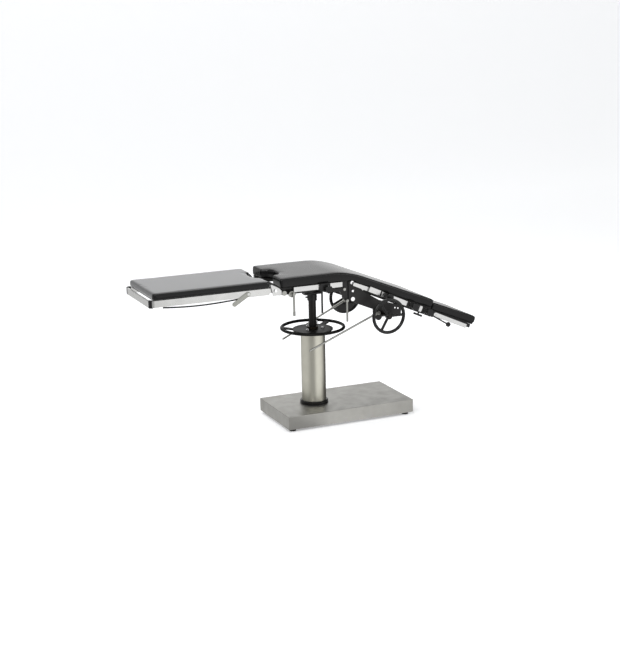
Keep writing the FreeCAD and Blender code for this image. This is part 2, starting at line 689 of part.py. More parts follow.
def side_handwheel():
    """A round rim, three spokes and a bored hub, lying flat with its axis upright."""
    wheel = body("wheel")
    half = "side_hub_length/2"
    revolve(wheel, outline(sketch(wheel, "XZ_Plane"), (
        ("shaft_radius + 2", "-" + half), ("side_hub_radius", "-" + half),
        ("side_hub_radius", half + " - 3"),
        ("side_hub_radius - 4", half), ("shaft_radius + 2", half))))
    spoke = pad(wheel, circle(sketch(wheel, "YZ_Plane"), "0", "-side_spoke*0.3", "side_spoke"),
                "side_wheel_radius")
    pattern = wheel.newObject("PartDesign::PolarPattern", "spokes")
    pattern.Originals = [spoke]
    pattern.Axis = ([item for item in wheel.Origin.OriginFeatures if item.Role == "Z_Axis"][0], [""])
    pattern.Angle = 360
    pattern.Occurrences = 3
    wheel.Tip = pattern
    revolve(wheel, circle(sketch(wheel, "XZ_Plane"), "side_wheel_radius", "0", "side_wheel_rim"))
    pocket(wheel, circle(sketch(wheel, "XY_Plane"), "0", "0", "shaft_radius"), "2*side_hub_length",
           middle=True)
    return place(wheel, "shaft_x", "-side_wheel_at", "shaft_z", (1, 0, 0), "90")


def build_drives():
    inner, gusset, arm, outer = side_levels()
    for side in ("near", "far"):
        def sided(shape):
            return shape if side == "near" else mirrored(shape)
        node(side + "_handwheel", sided(side_handwheel()))
        shaft = rod("y", "shaft_radius", "-(side_wheel_at + side_hub_length/2)",
                    "12 - (%s - housing_depth)" % arm,
                    "shaft_x", z="shaft_z")
        cap = rod("y", "shaft_radius + 3", "-(side_wheel_at + side_hub_length/2 + 5)",
                  "-(side_wheel_at + side_hub_length/2)", "shaft_x", z="shaft_z")
        collar = rod("y", "shaft_radius + 5", "-(%s + 22)" % outer, "-(%s + 8)" % outer, "shaft_x",
                     z="shaft_z")
        node(side + "_wheel_shaft", sided(fuse(shaft, cap, collar)))
    tube_reach = "(%s - housing_depth)" % arm
    tube = rod("y", "cross_tube_radius", "-" + tube_reach, tube_reach, "cross_tube_x", z="cross_tube_z")
    tube = cut(tube, rod("y", "cross_tube_radius - 3", "-300", "300", "cross_tube_x", z="cross_tube_z"))
    node("gear_housings", group(gear_housing(True), gear_housing(False), tube))


# Long hand levers beside the gear housings.
LONG_LEVERS = {
    "lever_radius": 6, "sleeve_grip_radius": 8.5, "near_lever_x": 345, "near_lever_slope": 21.9,
    "near_lever_length": 505, "near_grip_length": 34, "far_lever_x": 335, "far_lever_slope": 25.2,
    "far_lever_length": 489, "far_grip_length": 98, "lever_offset": 12, "lever_boss": 12, "lever_pin": 6,
    "lever_stack": 29, "lever_pin_head": 4
}
sizes("long levers", LONG_LEVERS)

# Heights of the levers' pins, from the shafts.
LEVER_LEVELS = {
    "near_lever_z": 8, "far_lever_z": -4
}
levels("long levers", "shaft_z", LEVER_LEVELS)


def build_levers():
    inner, gusset, arm, outer = side_levels()
    pivots = []
    for side in ("near", "far"):
        name = side + "_lever_"
        bar = rod("x", "lever_radius", "-" + name + "length", "-lever_boss*0.6")
        end = ball("lever_radius", "-" + name + "length", "0", "0")
        grip = rod("x", "sleeve_grip_radius", "-(lever_boss*0.6 + %s_grip_length)" % side, "-lever_boss*0.6")
        hub = rod("y", "lever_boss", "-lever_offset", "lever_offset - part_gap")
        lever = cut(fuse(bar, end, grip, hub), rod("y", "lever_pin + running_gap", "-40", "40"))
        place(lever, name + "x", "-(%s + lever_offset)" % outer, name + "z", (0, 1, 0), "-" + name + "slope")
        flipped = lever if side == "near" else mirrored(lever)
        node(side + "_lever", flipped)
        pin = rod("y", "lever_pin", "-(%s + lever_stack - lever_pin_head)" % outer, "-(%s)" % outer,
                  name + "x",
                  z=name + "z")
        head = rod("y", "lever_pin + 4", "-(%s + lever_stack)" % outer,
                   "-(%s + lever_stack - lever_pin_head)" % outer,
                   name + "x", z=name + "z")
        pivots.append(fuse(pin, head) if side == "near" else mirrored(fuse(pin, head)))
    return pivots


# Leg section: a bent rail frame that hangs on two hinge brackets.
LEG_SECTION = {
    "leg_hinge_x": -346, "leg_left": -1135, "leg_right": -380, "leg_rail_outer": 236,
    "leg_rail_thickness": 10, "leg_corner": 34, "leg_pin": 7, "leg_lug": 14, "leg_board_thickness": 9,
    "leg_board_inset": 37, "leg_board_over": 8, "leg_cross_foot": -985, "leg_cross_knee": -470,
    "bracket_inner": 240.5, "bracket_thickness": 6, "lever_top_x": -518, "flat_lever_length": 118,
    "flat_lever_width": 27, "flat_lever_slope": 31, "flat_lever_thickness": 6
}
sizes("leg section", LEG_SECTION)

# Heights of the leg section, from the cross axle.
LEG_LEVELS = {
    "leg_hinge_z": 28, "leg_rail_bottom": 4, "leg_rail_top": 44.5, "leg_board_top": 47.7, "lever_top_z": 25
}
levels("leg section", "axle_height", LEG_LEVELS)


def build_leg_section():
    inner, gusset, arm, outer = side_levels()
    inside = "(leg_rail_outer - leg_rail_thickness)"
    loop = slab((("leg_right", "-leg_rail_outer"), ("leg_left", "-leg_rail_outer"),
                 ("leg_left", "leg_rail_outer"),
                 ("leg_right", "leg_rail_outer"), ("leg_right", inside),
                 ("leg_left + leg_rail_thickness", inside), ("leg_left + leg_rail_thickness", "-" + inside),
                 ("leg_right", "-" + inside)), "XY_Plane", "leg_rail_top - leg_rail_bottom")
    soften(loop, "Fillet", "leg_corner", lambda edge: runs_along(edge, "z") and lies_at(edge, "x",
                                                                                        size["leg_left"]))
    inner_x = size["leg_left"] + size["leg_rail_thickness"]
    soften(loop, "Fillet", "leg_corner - leg_rail_thickness",
           lambda edge: runs_along(edge, "z") and lies_at(edge, "x", inner_x))
    place(loop, "0", "0", "leg_rail_bottom")
    lug = side_plate((("leg_hinge_x", "leg_hinge_z - leg_lug"), ("leg_hinge_x", "leg_hinge_z + leg_lug"),
                      ("leg_right - 20", "leg_hinge_z + leg_lug"),
                      ("leg_right - 20", "leg_hinge_z - leg_lug")),
                     inside, "leg_rail_outer")
    lug = cut(fuse(lug, rod("y", "leg_lug", "-leg_rail_outer", "-" + inside, "leg_hinge_x",
                            z="leg_hinge_z")),
              rod("y", "leg_pin + running_gap", "-300", "-150", "leg_hinge_x", z="leg_hinge_z"))
    bars = [box(x + " - 20", x + " + 20", "-" + inside, inside, "leg_board_top - leg_board_thickness - 8",
                "leg_board_top - leg_board_thickness") for x in ("leg_cross_foot", "leg_cross_knee")]
    frame = fuse(loop, lug, mirrored(lug), *bars)

    board = slab((("leg_left + leg_board_inset", "-" + inside), ("leg_right + leg_board_over", "-" + inside),
                  ("leg_right + leg_board_over", "-notch_half"),
                  ("leg_right + leg_board_over - leg_notch_depth", "-notch_half*0.45"),
                  ("leg_right + leg_board_over - leg_notch_depth", "notch_half*0.45"),
                  ("leg_right + leg_board_over", "notch_half"), ("leg_right + leg_board_over", inside),
                  ("leg_left + leg_board_inset", inside)), "XY_Plane", "leg_board_thickness")
    node("leg_board", place(board, "0", "0", "leg_board_top - leg_board_thickness"))

    outside = "(bracket_inner + bracket_thickness)"
    plate = side_plate((("leg_hinge_x - 26", "leg_hinge_z + 41"), ("leg_hinge_x + 24", "leg_hinge_z + 14"),
                        ("leg_hinge_x + 40", "leg_hinge_z - 4"), ("leg_hinge_x + 40", "leg_hinge_z - 30"),
                        ("leg_hinge_x - 16", "leg_hinge_z - 30"), ("leg_hinge_x - 18", "leg_hinge_z - 8"),
                        ("leg_hinge_x - 30", "leg_hinge_z + 34")), "bracket_inner", outside)
    foot = box("leg_hinge_x + 22", "leg_hinge_x + 40", "-bracket_inner", "-(%s)" % gusset,
               "leg_hinge_z - 30",
               "leg_hinge_z - 4")
    bracket = cut(fuse(plate, foot), rod("y", "leg_pin", "-300", "-200", "leg_hinge_x", z="leg_hinge_z"))
    pin = rod("y", "leg_pin", "-" + outside, "-(%s) + 4" % inside, "leg_hinge_x", z="leg_hinge_z")
    head = rod("y", "leg_pin + 3", "-(%s + 4)" % outside, "-" + outside, "leg_hinge_x", z="leg_hinge_z")
    node("leg_hinge_brackets", both(group(bracket, fuse(pin, head))))

    reach = "flat_lever_length"
    blade = slab((("0", "-flat_lever_width/2"), ("0", "flat_lever_width/2"),
                  ("-%s + 8" % reach, "flat_lever_width/2"),
                  ("-" + reach, "flat_lever_width/2 - 9"), ("-" + reach, "9 - flat_lever_width/2"),
                  ("-%s + 8" % reach, "-flat_lever_width/2")), "XZ_Plane", "flat_lever_thickness")
    hub = rod("y", "flat_lever_width/2", "-flat_lever_thickness", "0")
    lever = cut(fuse(blade, hub), rod("y", "5 + running_gap", "-40", "40"))
    place(lever, "lever_top_x", "-(leg_rail_outer + part_gap)", "lever_top_z", (0, 1, 0),
          "-flat_lever_slope")
    node("leg_lock_lever", lever)
    stub = rod("y", "5", "-(leg_rail_outer + flat_lever_thickness + 2*part_gap)", "-leg_rail_outer",
               "lever_top_x",
               z="lever_top_z")
    stub_head = rod("y", "9", "-(leg_rail_outer + flat_lever_thickness + 2*part_gap + 4)",
                    "-(leg_rail_outer + flat_lever_thickness + 2*part_gap)", "lever_top_x", z="lever_top_z")
    node("leg_frame", group(frame, fuse(stub, stub_head)))


# Back section, in the sloping frame of its hinge: lengths run down the back, heights stand off it.
BACK_SECTION = {
    "back_bar_left": 4, "back_bar_right": 600, "back_bar_top": 6, "back_bar_low": 34, "back_bar_taper": 18,
    "back_length": 599, "back_board_top": 6.5, "back_pad_thick": 50, "back_cross_near_hinge": 96,
    "back_cross_middle": 330, "back_cross_head": 575, "back_board_left": 26, "head_hinge_s": 610,
    "head_hinge_z": -38.6, "head_lug": 13, "head_pin": 6
}
sizes("back section", BACK_SECTION)

# Head section, in the same sloping frame.
HEAD_SECTION = {
    "head_bar_right": 925, "head_left": 607, "head_length": 346, "head_half_width": 207,
    "head_pad_bottom": 6.2, "head_pad_thick": 44, "head_board_thick": 9, "head_bar_low": 42,
    "head_bar_top": 16, "head_rail_left": 648, "head_rail_right": 893, "head_rail_width": 26,
    "head_rail_inner": 208.5, "ball_radius": 15.5, "ball_lever_length": 140, "ball_lever_rod": 4.5,
    "ball_lever_slope": 9.7, "ball_lever_offset": 31
}
sizes("head section", HEAD_SECTION)


def on_slope(shape, extra="0"):
    """Carry a piece drawn in the sloping frame to the back hinge."""
    return place(group(shape), "hinge_x", "0", "hinge_z", (0, 1, 0), "back_slope + " + extra)


def build_back_section():
    inner = "bar_inner - plate_step - 2"
    outer = "bar_inner - 2"
    bar = side_plate((("-hinge_boss*0.7", "-hinge_boss*0.7"), ("back_bar_left", "-back_bar_low"),
                      ("back_bar_right", "-(back_bar_low + back_bar_taper)"),
                      ("head_hinge_s + head_lug*0.6", "head_hinge_z - head_lug*0.8"),
                      ("head_hinge_s + head_lug*0.6", "head_hinge_z + head_lug*0.7"),
                      ("back_bar_right - 12", "-back_bar_top"), ("back_board_left", "-back_bar_top"),
                      ("hinge_boss*0.6", "hinge_boss*0.6")), inner, outer)
    lug = rod("y", "hinge_boss", "-(%s)" % outer, "-(%s)" % inner)
    end_lug = rod("y", "head_lug", "-(%s)" % outer, "-(%s)" % inner, "head_hinge_s", z="head_hinge_z")
    near = cut(fuse(bar, lug, end_lug), rod("y", "hinge_radius + running_gap", "-300", "-100"),
               rod("y", "head_pin", "-300", "-100", "head_hinge_s", z="head_hinge_z"))
    cross = [box(s + " - 16", s + " + 16", "-(%s)" % inner, inner, "-back_bar_low + 8", "-back_bar_top")
             for s in ("back_cross_near_hinge", "back_cross_middle", "back_cross_head")]
    head_pin = rod("y", "head_pin", "-(bar_inner + 18.6 + ball_lever_offset)",
                   "-(bar_inner - plate_step - 6)",
                   "head_hinge_s", z="head_hinge_z")
    node("back_frame", on_slope(group(fuse(near, mirrored(near), *cross), head_pin, mirrored(head_pin))))

    board = box("back_board_left", "back_length - 6", "-(rail_inner - board_margin)",
                "(rail_inner - board_margin)", "-back_bar_top + 0.8",
                "back_board_top")
    node("back_board", on_slope(board))

    outside = "rail_inner + rail_thickness"
    rail = side_plate((("6", "-rail_half"), ("back_bar_right - 12", "-rail_half"),
                       ("back_bar_right - 12", "rail_half"), ("208", "rail_half"), ("14", "rail_half*0.42"),
                       ("6", "rail_half*0.3")), "rail_inner", outside)
    spacers = [rod("y", "spacer_radius", "-rail_inner", "-(%s)" % outer, s, z="-14") for s in ("84", "330",
                                                                                               "556")]
    node("back_rails", on_slope(both(group(rail, *spacers)), "rail_droop"))


# Clamps, bands and knobs on the near back rail.
RAIL_FITTINGS = {
    "socket_left": 116, "socket_right": 196, "fitting_depth": 14, "band_one": 205, "band_two": 419,
    "band_three": 536, "band_long": 13, "knob_one": 263, "knob_two": 456, "knob_three": 572,
    "knob_radius": 25, "knob_depth": 24, "knob_stud": 5, "knob_base": 12, "small_clamp": 507,
    "small_clamp_width": 18, "t_bar_radius": 6.5, "t_bar_length": 60, "t_stem_radius": 5, "t_drop": 24
}
sizes("rail fittings", RAIL_FITTINGS)


def knob_profile():
    """Half profile of a clamp knob: a stud, a neck and a broad grip."""
    return (("0", "-knob_base"), ("knob_stud", "-knob_base"), ("knob_stud", "0"), ("knob_radius*0.5", "0"),
            ("knob_radius*0.56", "knob_depth*0.25"), ("knob_radius*0.96", "knob_depth*0.38"),
            ("knob_radius", "knob_depth*0.5"), ("knob_radius", "knob_depth*0.8"),
            ("knob_radius*0.88", "knob_depth"), ("0", "knob_depth"))


def lobed_knob():
    """A turned knob with six finger hollows round its grip."""
    knob = turned(knob_profile())
    doc.recompute()
    hollows = []
    for i in range(6):
        turn = "(%d)" % (60 * i)
        hollows.append(rod("z", "knob_radius*0.42", "knob_depth*0.2", "knob_depth + 5",
                           "knob_radius*1.28*cos(%s)" % turn, "knob_radius*1.28*sin(%s)" % turn))
    return cut(knob, *hollows)


def build_fittings():
    face = "(rail_inner + rail_thickness)"
    front = "(%s + fitting_depth)" % face
    socket = box("socket_left", "socket_right", "-" + front, "-" + face, "-rail_half", "rail_half + 3")
    socket = cut(socket, rod("z", "4", "-40", "40", "socket_left + 24", "-(%s + fitting_depth/2)" % face))
    bands = []
    for at in ("band_one", "band_two", "band_three"):
        low, high = "%s - band_long/2" % at, "%s + band_long/2" % at
        strap = box(low, high, "-(%s + 6)" % face, "-(rail_inner - 5)", "-(rail_half + 5)", "rail_half")
        slot = box("%s - 30" % at, "%s + 30" % at, "-" + face, "-rail_inner", "-rail_half", "rail_half + 5")
        plate = box(low, high, "-(%s + 6)" % face, "-" + face, "-(rail_half + 5)", "rail_half + 4")
        bands.append(fuse(cut(strap, slot), plate))
    blocks = []
    for number, at in enumerate(("knob_one", "knob_two", "knob_three"), 1):
        block = box("%s - 15" % at, "%s + 15" % at, "-" + front, "-" + face, "-rail_half - 2",
                    "rail_half + 2")
        hole = rod("y", "knob_stud + running_gap", "-(%s + 5)" % front, "-" + face, at)
        blocks.append(cut(block, hole))
        knob = place(lobed_knob(), at, "-(%s + part_gap)" % front, "0", (1, 0, 0), "90")
        node("rail_knob_%d" % number, on_slope(group(knob), "rail_droop"))
    node("rail_bands", on_slope(group(*bands, *blocks), "rail_droop"))

    clamp = box("small_clamp - small_clamp_width/2", "small_clamp + small_clamp_width/2", "-" + front,
                "-" + face,
                "-rail_half - 2", "rail_half + 4")
    middle = "-(%s + fitting_depth/2)" % face
    clamp = cut(clamp, rod("z", "t_stem_radius + running_gap", "-40", "-6", "small_clamp", middle))
    node("rail_sockets", on_slope(group(socket, clamp), "rail_droop"))
    low = "-(rail_half + t_drop)"
    stem = rod("z", "t_stem_radius", low, "-8", "small_clamp", middle)
    bar = rod("x", "t_bar_radius", "small_clamp - t_bar_length/2", "small_clamp + t_bar_length/2", y=middle,
              z=low)
    node("rail_t_handle", on_slope(fuse(stem, bar), "rail_droop"))


def build_head_section():
    inner = "bar_inner - 1.4"
    outer = "bar_inner + 6.6"
    low = "-head_bar_low"
    top = "-head_bar_top"
    bar = side_plate((("head_hinge_s - head_lug*0.6", "head_hinge_z - head_lug*0.7"),
                      ("head_bar_right", low), ("head_bar_right", top), ("head_hinge_s + 20", top),
                      ("head_hinge_s - head_lug*0.6", "head_hinge_z + head_lug*0.7")), inner, outer)
    lug = rod("y", "head_lug", "-(%s)" % outer, "-(%s)" % inner, "head_hinge_s", z="head_hinge_z")
    near = cut(fuse(bar, lug), rod("y", "head_pin + running_gap", "-300", "-100", "head_hinge_s",
                                   z="head_hinge_z"))
    cross = [box(s + " - 14", s + " + 14", "-(%s)" % inner, inner, top + " - 16", top)
             for s in ("head_left + 110", "head_left + 290")]
    node("head_frame", on_slope(fuse(near, mirrored(near), *cross)))

    board = box("head_left + 14", "head_left + head_length - 8", "12 - head_half_width",
                "head_half_width - 12",
                "-head_pad_bottom - part_gap - head_board_thick", "-head_pad_bottom - part_gap")
    node("head_board", on_slope(board))

    half = "head_rail_width/2"
    rail = side_plate((("head_rail_left", "-" + half), ("head_rail_right", "-" + half),
                       ("head_rail_right", half),
                       ("head_rail_left", half)), "head_rail_inner", "head_rail_inner + rail_thickness")
    end = rod("y", half, "-(head_rail_inner + rail_thickness)", "-head_rail_inner", "head_rail_left")
    screw = rod("y", "6", "-(head_rail_inner + rail_thickness + 2)", "-(%s)" % outer, "head_rail_left + 8",
                z="-1")
    stay = rod("y", "6", "-(head_rail_inner)", "-(%s)" % outer, "head_rail_right - 40", z="2")
    node("head_rails", on_slope(both(fuse(rail, end, screw, stay)), "rail_droop"))

    at = "-(%s + ball_lever_offset)" % outer
    hub = rod("y", "11", "-9", "9")
    arm = rod("x", "ball_lever_rod", "8", "ball_lever_length")
    knob = ball("ball_radius", "ball_lever_length", "0", "0")
    lever = cut(fuse(hub, arm, knob), rod("y", "head_pin + running_gap", "-40", "40"))
    place(lever, "head_hinge_s", at, "head_hinge_z", (0, 1, 0), "ball_lever_slope")
    node("ball_lever", on_slope(group(lever)))


# Clamps, rods and the lever on the near side of the seat.
SEAT_FITTINGS = {
    "eye_x": -240, "eye_radius": 19, "eye_front": 252, "eye_disc": 12, "eye_pin": 4, "eye_pin_x": -232,
    "eye_two_x": -288, "eye_two_radius": 15, "tommy_radius": 6.5, "tommy_end": 8, "tommy_grip": 26,
    "block_left": -53, "block_right": 12, "block_depth": 17, "rod_two_x": -42, "rod_two_radius": 6,
    "seat_knob_x": -7, "rod_three_x": 139, "rod_three_radius": 6.2, "release_x": 122, "release_left": 2,
    "release_thickness": 6
}
sizes("seat fittings", SEAT_FITTINGS)

# Heights of the fittings, from the underside of the seat bars.
FITTING_LEVELS = {
    "eye_z": 8, "eye_pin_z": 10, "eye_two_z": 18, "tommy_low": -124, "block_low": 12, "block_high": 54,
    "rod_two_low": -130, "seat_knob_z": 19, "rod_three_z": -77, "rod_three_low": -210, "release_z": -4
}
levels("seat fittings", "bar_bottom", FITTING_LEVELS)


def build_seat_fittings(pivots):
    inner, gusset, arm, outer = side_levels()
    tommy_y = "-(eye_front + part_gap + tommy_end)"
    eye = fuse(rod("y", "eye_radius*0.55", "-eye_front", "-(%s)" % gusset, "eye_x", z="eye_z"),
               rod("y", "eye_radius", "-(eye_front - 4)", "eye_disc + 4 - eye_front", "eye_x", z="eye_z"),
               rod("y", "eye_pin", tommy_y + " - tommy_end - 2", "eye_disc - eye_front", "eye_pin_x",
                   z="eye_pin_z"))
    second = fuse(rod("y", "eye_two_radius*0.6", "eye_disc - eye_front", "-(%s)" % gusset, "eye_two_x",
                      z="eye_two_z"),
                  rod("y", "eye_two_radius", "-(eye_front - 4)", "eye_disc - eye_front", "eye_two_x",
                      z="eye_two_z"))
    node("clamp_eye", group(eye, second))
    ring = rod("y", "eye_pin + 5.5", tommy_y + " - tommy_end", "-(eye_front + part_gap)", "eye_pin_x",
               z="eye_pin_z")
    bar = rod("z", "tommy_radius", "tommy_low", "eye_pin_z", "eye_pin_x", tommy_y)
    grip = rod("z", "tommy_end", "tommy_low", "tommy_low + tommy_grip", "eye_pin_x", tommy_y)
    node("tommy_bar", cut(fuse(ring, bar, grip),
                          rod("y", "eye_pin + running_gap", "-300", "-200", "eye_pin_x", z="eye_pin_z")))

    face = "(rail_inner + rail_thickness)"
    middle = "-(%s + block_depth/2)" % face
    block = box("block_left", "block_right", "-(%s + block_depth)" % face, "-" + face, "block_low",
                "block_high")
    block = cut(block, rod("z", "rod_two_radius + running_gap", "block_low - 5", "block_high + 5",
                           "rod_two_x", middle))
    front = "(%s + block_depth)" % face
    node("rod_clamp", cut(block, rod("y", "knob_stud + running_gap", "-(%s + 5)" % front, "-" + face,
                                     "seat_knob_x",
                                     z="seat_knob_z")))
    node("clamp_rod", rod("z", "rod_two_radius", "rod_two_low", "block_high - 1", "rod_two_x", middle))
    knob = place(lobed_knob(), "seat_knob_x", "-(%s + part_gap)" % front, "seat_knob_z", (1, 0, 0), "90")
    node("clamp_knob", group(knob))

    hang = "%s + part_gap + rod_three_radius + 0.5" % arm
    pivots.append(rod("y", "4", "-(%s + rod_three_radius + 2)" % hang, "-(%s)" % arm, "rod_three_x",
                      z="rod_three_z"))
    top = rod("y", "rod_three_radius + 2.5", "-(%s + rod_three_radius + 0.5)" % hang,
              "-(%s + part_gap)" % arm,
              "rod_three_x", z="rod_three_z")
    bar = rod("z", "rod_three_radius", "rod_three_low", "rod_three_z", "rod_three_x", "-(%s)" % hang)
    node("gusset_rod", cut(fuse(top, bar), rod("y", "4 + running_gap", "-300", "-200", "rod_three_x",
                                               z="rod_three_z")))

    back = "%s + part_gap" % arm
    blade = side_plate((("release_x + 4", "release_z - 14"), ("release_x + 4", "release_z + 12"),
                        ("release_left + 50", "release_z + 12"), ("release_left", "release_z + 14"),
                        ("release_left", "release_z - 4"), ("release_left + 48", "release_z - 9")),
                       back, back + " + release_thickness")
    hub = rod("y", "13", "-(%s + release_thickness)" % back, "-(%s)" % back, "release_x", z="release_z")
    lever = cut(fuse(blade, hub), rod("y", "5 + running_gap", "-300", "-150", "release_x", z="release_z"))
    node("release_lever", lever)
    pivots.append(fuse(
        rod("y", "5", "-(%s + release_thickness + part_gap)" % back, "-(%s)" % arm, "release_x",
            z="release_z"),
        rod("y", "9", "-(%s + release_thickness + part_gap + 4)" % back,
            "-(%s + release_thickness + part_gap)" % back, "release_x", z="release_z")))
    node("pivot_pins", group(*pivots))


# Cushions, as plain closed solids of their true outline.
CUSHIONS = {
    "cushion_half": 240, "notch_half": 100, "notch_depth": 62, "leg_notch_depth": 38, "seat_pad_left": -308,
    "seat_pad_right": 30, "seat_pad_thick": 57, "leg_pad_left": -1112, "leg_pad_right": -376,
    "leg_pad_thick": 37, "bend_s": 110, "head_bend": 73
}
sizes("cushions", CUSHIONS)


def build_cushions():
    def notched(left, right, low, high, end, depth):
        """A cushion seen from above, with a shallow hollow in the middle of one end."""
        other = right if end == left else left
        inward = "+" if end == left else "-"
        deep = "(%s) %s %s" % (end, inward, depth)
        points = ((end, "-cushion_half"), (other, "-cushion_half"), (other, "cushion_half"),
                  (end, "cushion_half"),
                  (end, "notch_half"), ("(%s) %s %s*0.72" % (end, inward, depth), "notch_half*0.8"),
                  (deep, "notch_half*0.4"), (deep, "-notch_half*0.4"),
                  ("(%s) %s %s*0.72" % (end, inward, depth), "-notch_half*0.8"), (end, "-notch_half"))
        cushion = slab(points, "XY_Plane", "(%s) - (%s)" % (high, low))
        return place(cushion, "0", "0", low)

    leg_low = "leg_board_top + part_gap"
    seat_low = "(board_top + part_gap)"
    seat_high = "(" + seat_low + " + seat_pad_thick)"
    back_low = "(back_board_top + part_gap)"
    back_high = "(" + back_low + " + back_pad_thick)"
    node("leg_pad", notched("leg_pad_left", "leg_pad_right", leg_low, leg_low + " + leg_pad_thick",
                            "leg_pad_right",
                            "leg_notch_depth"))
    node("seat_pad", notched("seat_pad_left", "seat_pad_right", seat_low, seat_high, "seat_pad_left",
                             "notch_depth"))
    back = box("bend_s", "back_length", "-cushion_half", "cushion_half", back_low, back_high)
    node("back_pad", on_slope(back))
    level = "(seat_pad_right + part_gap)"
    end = "(bend_s - part_gap)"
    run_x = "hinge_x + %s*cos(back_slope) + %s*sin(back_slope)"
    run_z = "hinge_z - %s*sin(back_slope) + %s*cos(back_slope)"
    mid = "(bend_s*0.42)"
    rise = "(%s - hinge_z - %s*cos(back_slope))" % (seat_high, back_high)
    ridge = "(hinge_x + %s*sin(back_slope) - %s*cos(back_slope)/sin(back_slope))" % (back_high, rise)
    bend = slab(((level, seat_low), ("seat_right + 2", seat_low), ("hinge_x + 4", seat_low + " - 1"),
                 (run_x % (mid, back_low), run_z % (mid, back_low)),
                 (run_x % (end, back_low), run_z % (end, back_low)),
                 (run_x % (end, back_high), run_z % (end, back_high)),
                 (ridge, seat_high), (level, seat_high)), "XZ_Plane", "2*cushion_half", middle=True)
    doc.recompute()
    across = [edge for edge in bend.Shape.Edges if runs_along(edge, "y")]
    top = max(edge.BoundBox.ZMax for edge in across)
    crest = max(edge.BoundBox.XMax for edge in across if lies_at(edge, "z", top))
    soften(bend, "Fillet", "(%s - %s - 5)/tan(back_slope/2)" % (ridge, level),
           lambda edge: runs_along(edge, "y") and lies_at(edge, "z", top) and lies_at(edge, "x", crest))
    node("mattress_bend", bend)

    def head_block(low, high):
        return box(low, high, "-head_half_width", "head_half_width", "-head_pad_bottom",
                   "head_pad_thick - head_pad_bottom")
    split = "head_left + head_bend"
    node("head_pad", on_slope(head_block(split, "head_left + head_length")))
    node("head_pad_bend", on_slope(head_block("head_left", split + " - part_gap")))


table_top = build_base()
column_top = build_column(table_top)
build_lift_wheel(column_top)
build_lift_screw()
build_seat_frame()
build_gussets()
build_drives()
pivot_pins = build_levers()
build_leg_section()
build_back_section()
build_fittings()
build_head_section()
build_seat_fittings(pivot_pins)
build_cushions()
doc.recompute()

for item in doc.Objects:
    if "Invalid" in item.State or "Error" in item.State:
        raise RuntimeError("%s of %s did not build" % (item.Label, [owner.Label for owner in item.InList]))
os.makedirs("parts", exist_ok=True)
for name, shape in parts.items():
    if shape.Shape.isNull() or not shape.Shape.isValid() or not shape.Shape.Solids:
        raise RuntimeError(name + " has no valid solid")
    shape.Shape.exportStep(os.path.join("parts", name + ".step"))
    limits = shape.Shape.BoundBox
    print("%-20s %2d x %7.1f %7.1f  y %7.1f %7.1f  z %7.1f %7.1f" % (
        name, len(shape.Shape.Solids), limits.XMin, limits.XMax, limits.YMin, limits.YMax, limits.ZMin,
        limits.ZMax))
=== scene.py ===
from math import cos, pi, radians, sin, tan

import bpy
import numpy as np
from mathutils import Matrix, Vector


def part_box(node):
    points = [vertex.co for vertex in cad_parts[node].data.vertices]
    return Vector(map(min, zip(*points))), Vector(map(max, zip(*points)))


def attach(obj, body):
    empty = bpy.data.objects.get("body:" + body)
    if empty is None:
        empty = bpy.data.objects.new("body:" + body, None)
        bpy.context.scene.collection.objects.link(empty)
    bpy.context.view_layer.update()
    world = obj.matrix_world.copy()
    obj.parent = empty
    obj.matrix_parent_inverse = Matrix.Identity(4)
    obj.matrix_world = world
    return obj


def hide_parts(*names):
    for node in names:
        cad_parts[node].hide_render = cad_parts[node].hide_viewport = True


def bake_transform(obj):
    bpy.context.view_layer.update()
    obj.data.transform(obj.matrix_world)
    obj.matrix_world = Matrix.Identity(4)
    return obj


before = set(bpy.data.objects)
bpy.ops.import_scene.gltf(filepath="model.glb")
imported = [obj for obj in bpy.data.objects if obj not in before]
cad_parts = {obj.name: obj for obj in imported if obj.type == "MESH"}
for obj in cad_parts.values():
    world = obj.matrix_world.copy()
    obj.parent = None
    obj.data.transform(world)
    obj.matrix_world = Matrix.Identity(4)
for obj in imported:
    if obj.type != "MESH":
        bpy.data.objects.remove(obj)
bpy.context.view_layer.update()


# Studio: a white sweep of paper, three broad soft lamps, panels that only shiny
# faces see, and a camera that looks down on the foot end and the near side.
scene = bpy.context.scene
scene.view_settings.view_transform = "Standard"

film_width = 36.0
photo_height = 661.0
focal_pixels = 1453.51
camera_data = bpy.data.cameras.new("camera")
camera_data.sensor_fit = "AUTO"
camera_data.sensor_width = film_width
camera_data.lens = focal_pixels * film_width / photo_height
camera_data.clip_end = 60.0
camera = bpy.data.objects.new("camera", camera_data)
scene.collection.objects.link(camera)
scene.camera = camera

camera_place = (-3.54063, -8.17756, 2.76301)
yaw, dip, roll = 0.40667, 0.241408, -0.0209251
ahead = Vector((sin(yaw) * cos(dip), cos(yaw) * cos(dip), -sin(dip)))
level = Vector((cos(yaw), -sin(yaw), 0.0))
upward = level.cross(ahead)
right = cos(roll) * level + sin(roll) * upward
above = cos(roll) * upward - sin(roll) * level
facing = Matrix((right, above, -ahead)).transposed().to_4x4()
camera.matrix_world = Matrix.Translation(camera_place) @ facing


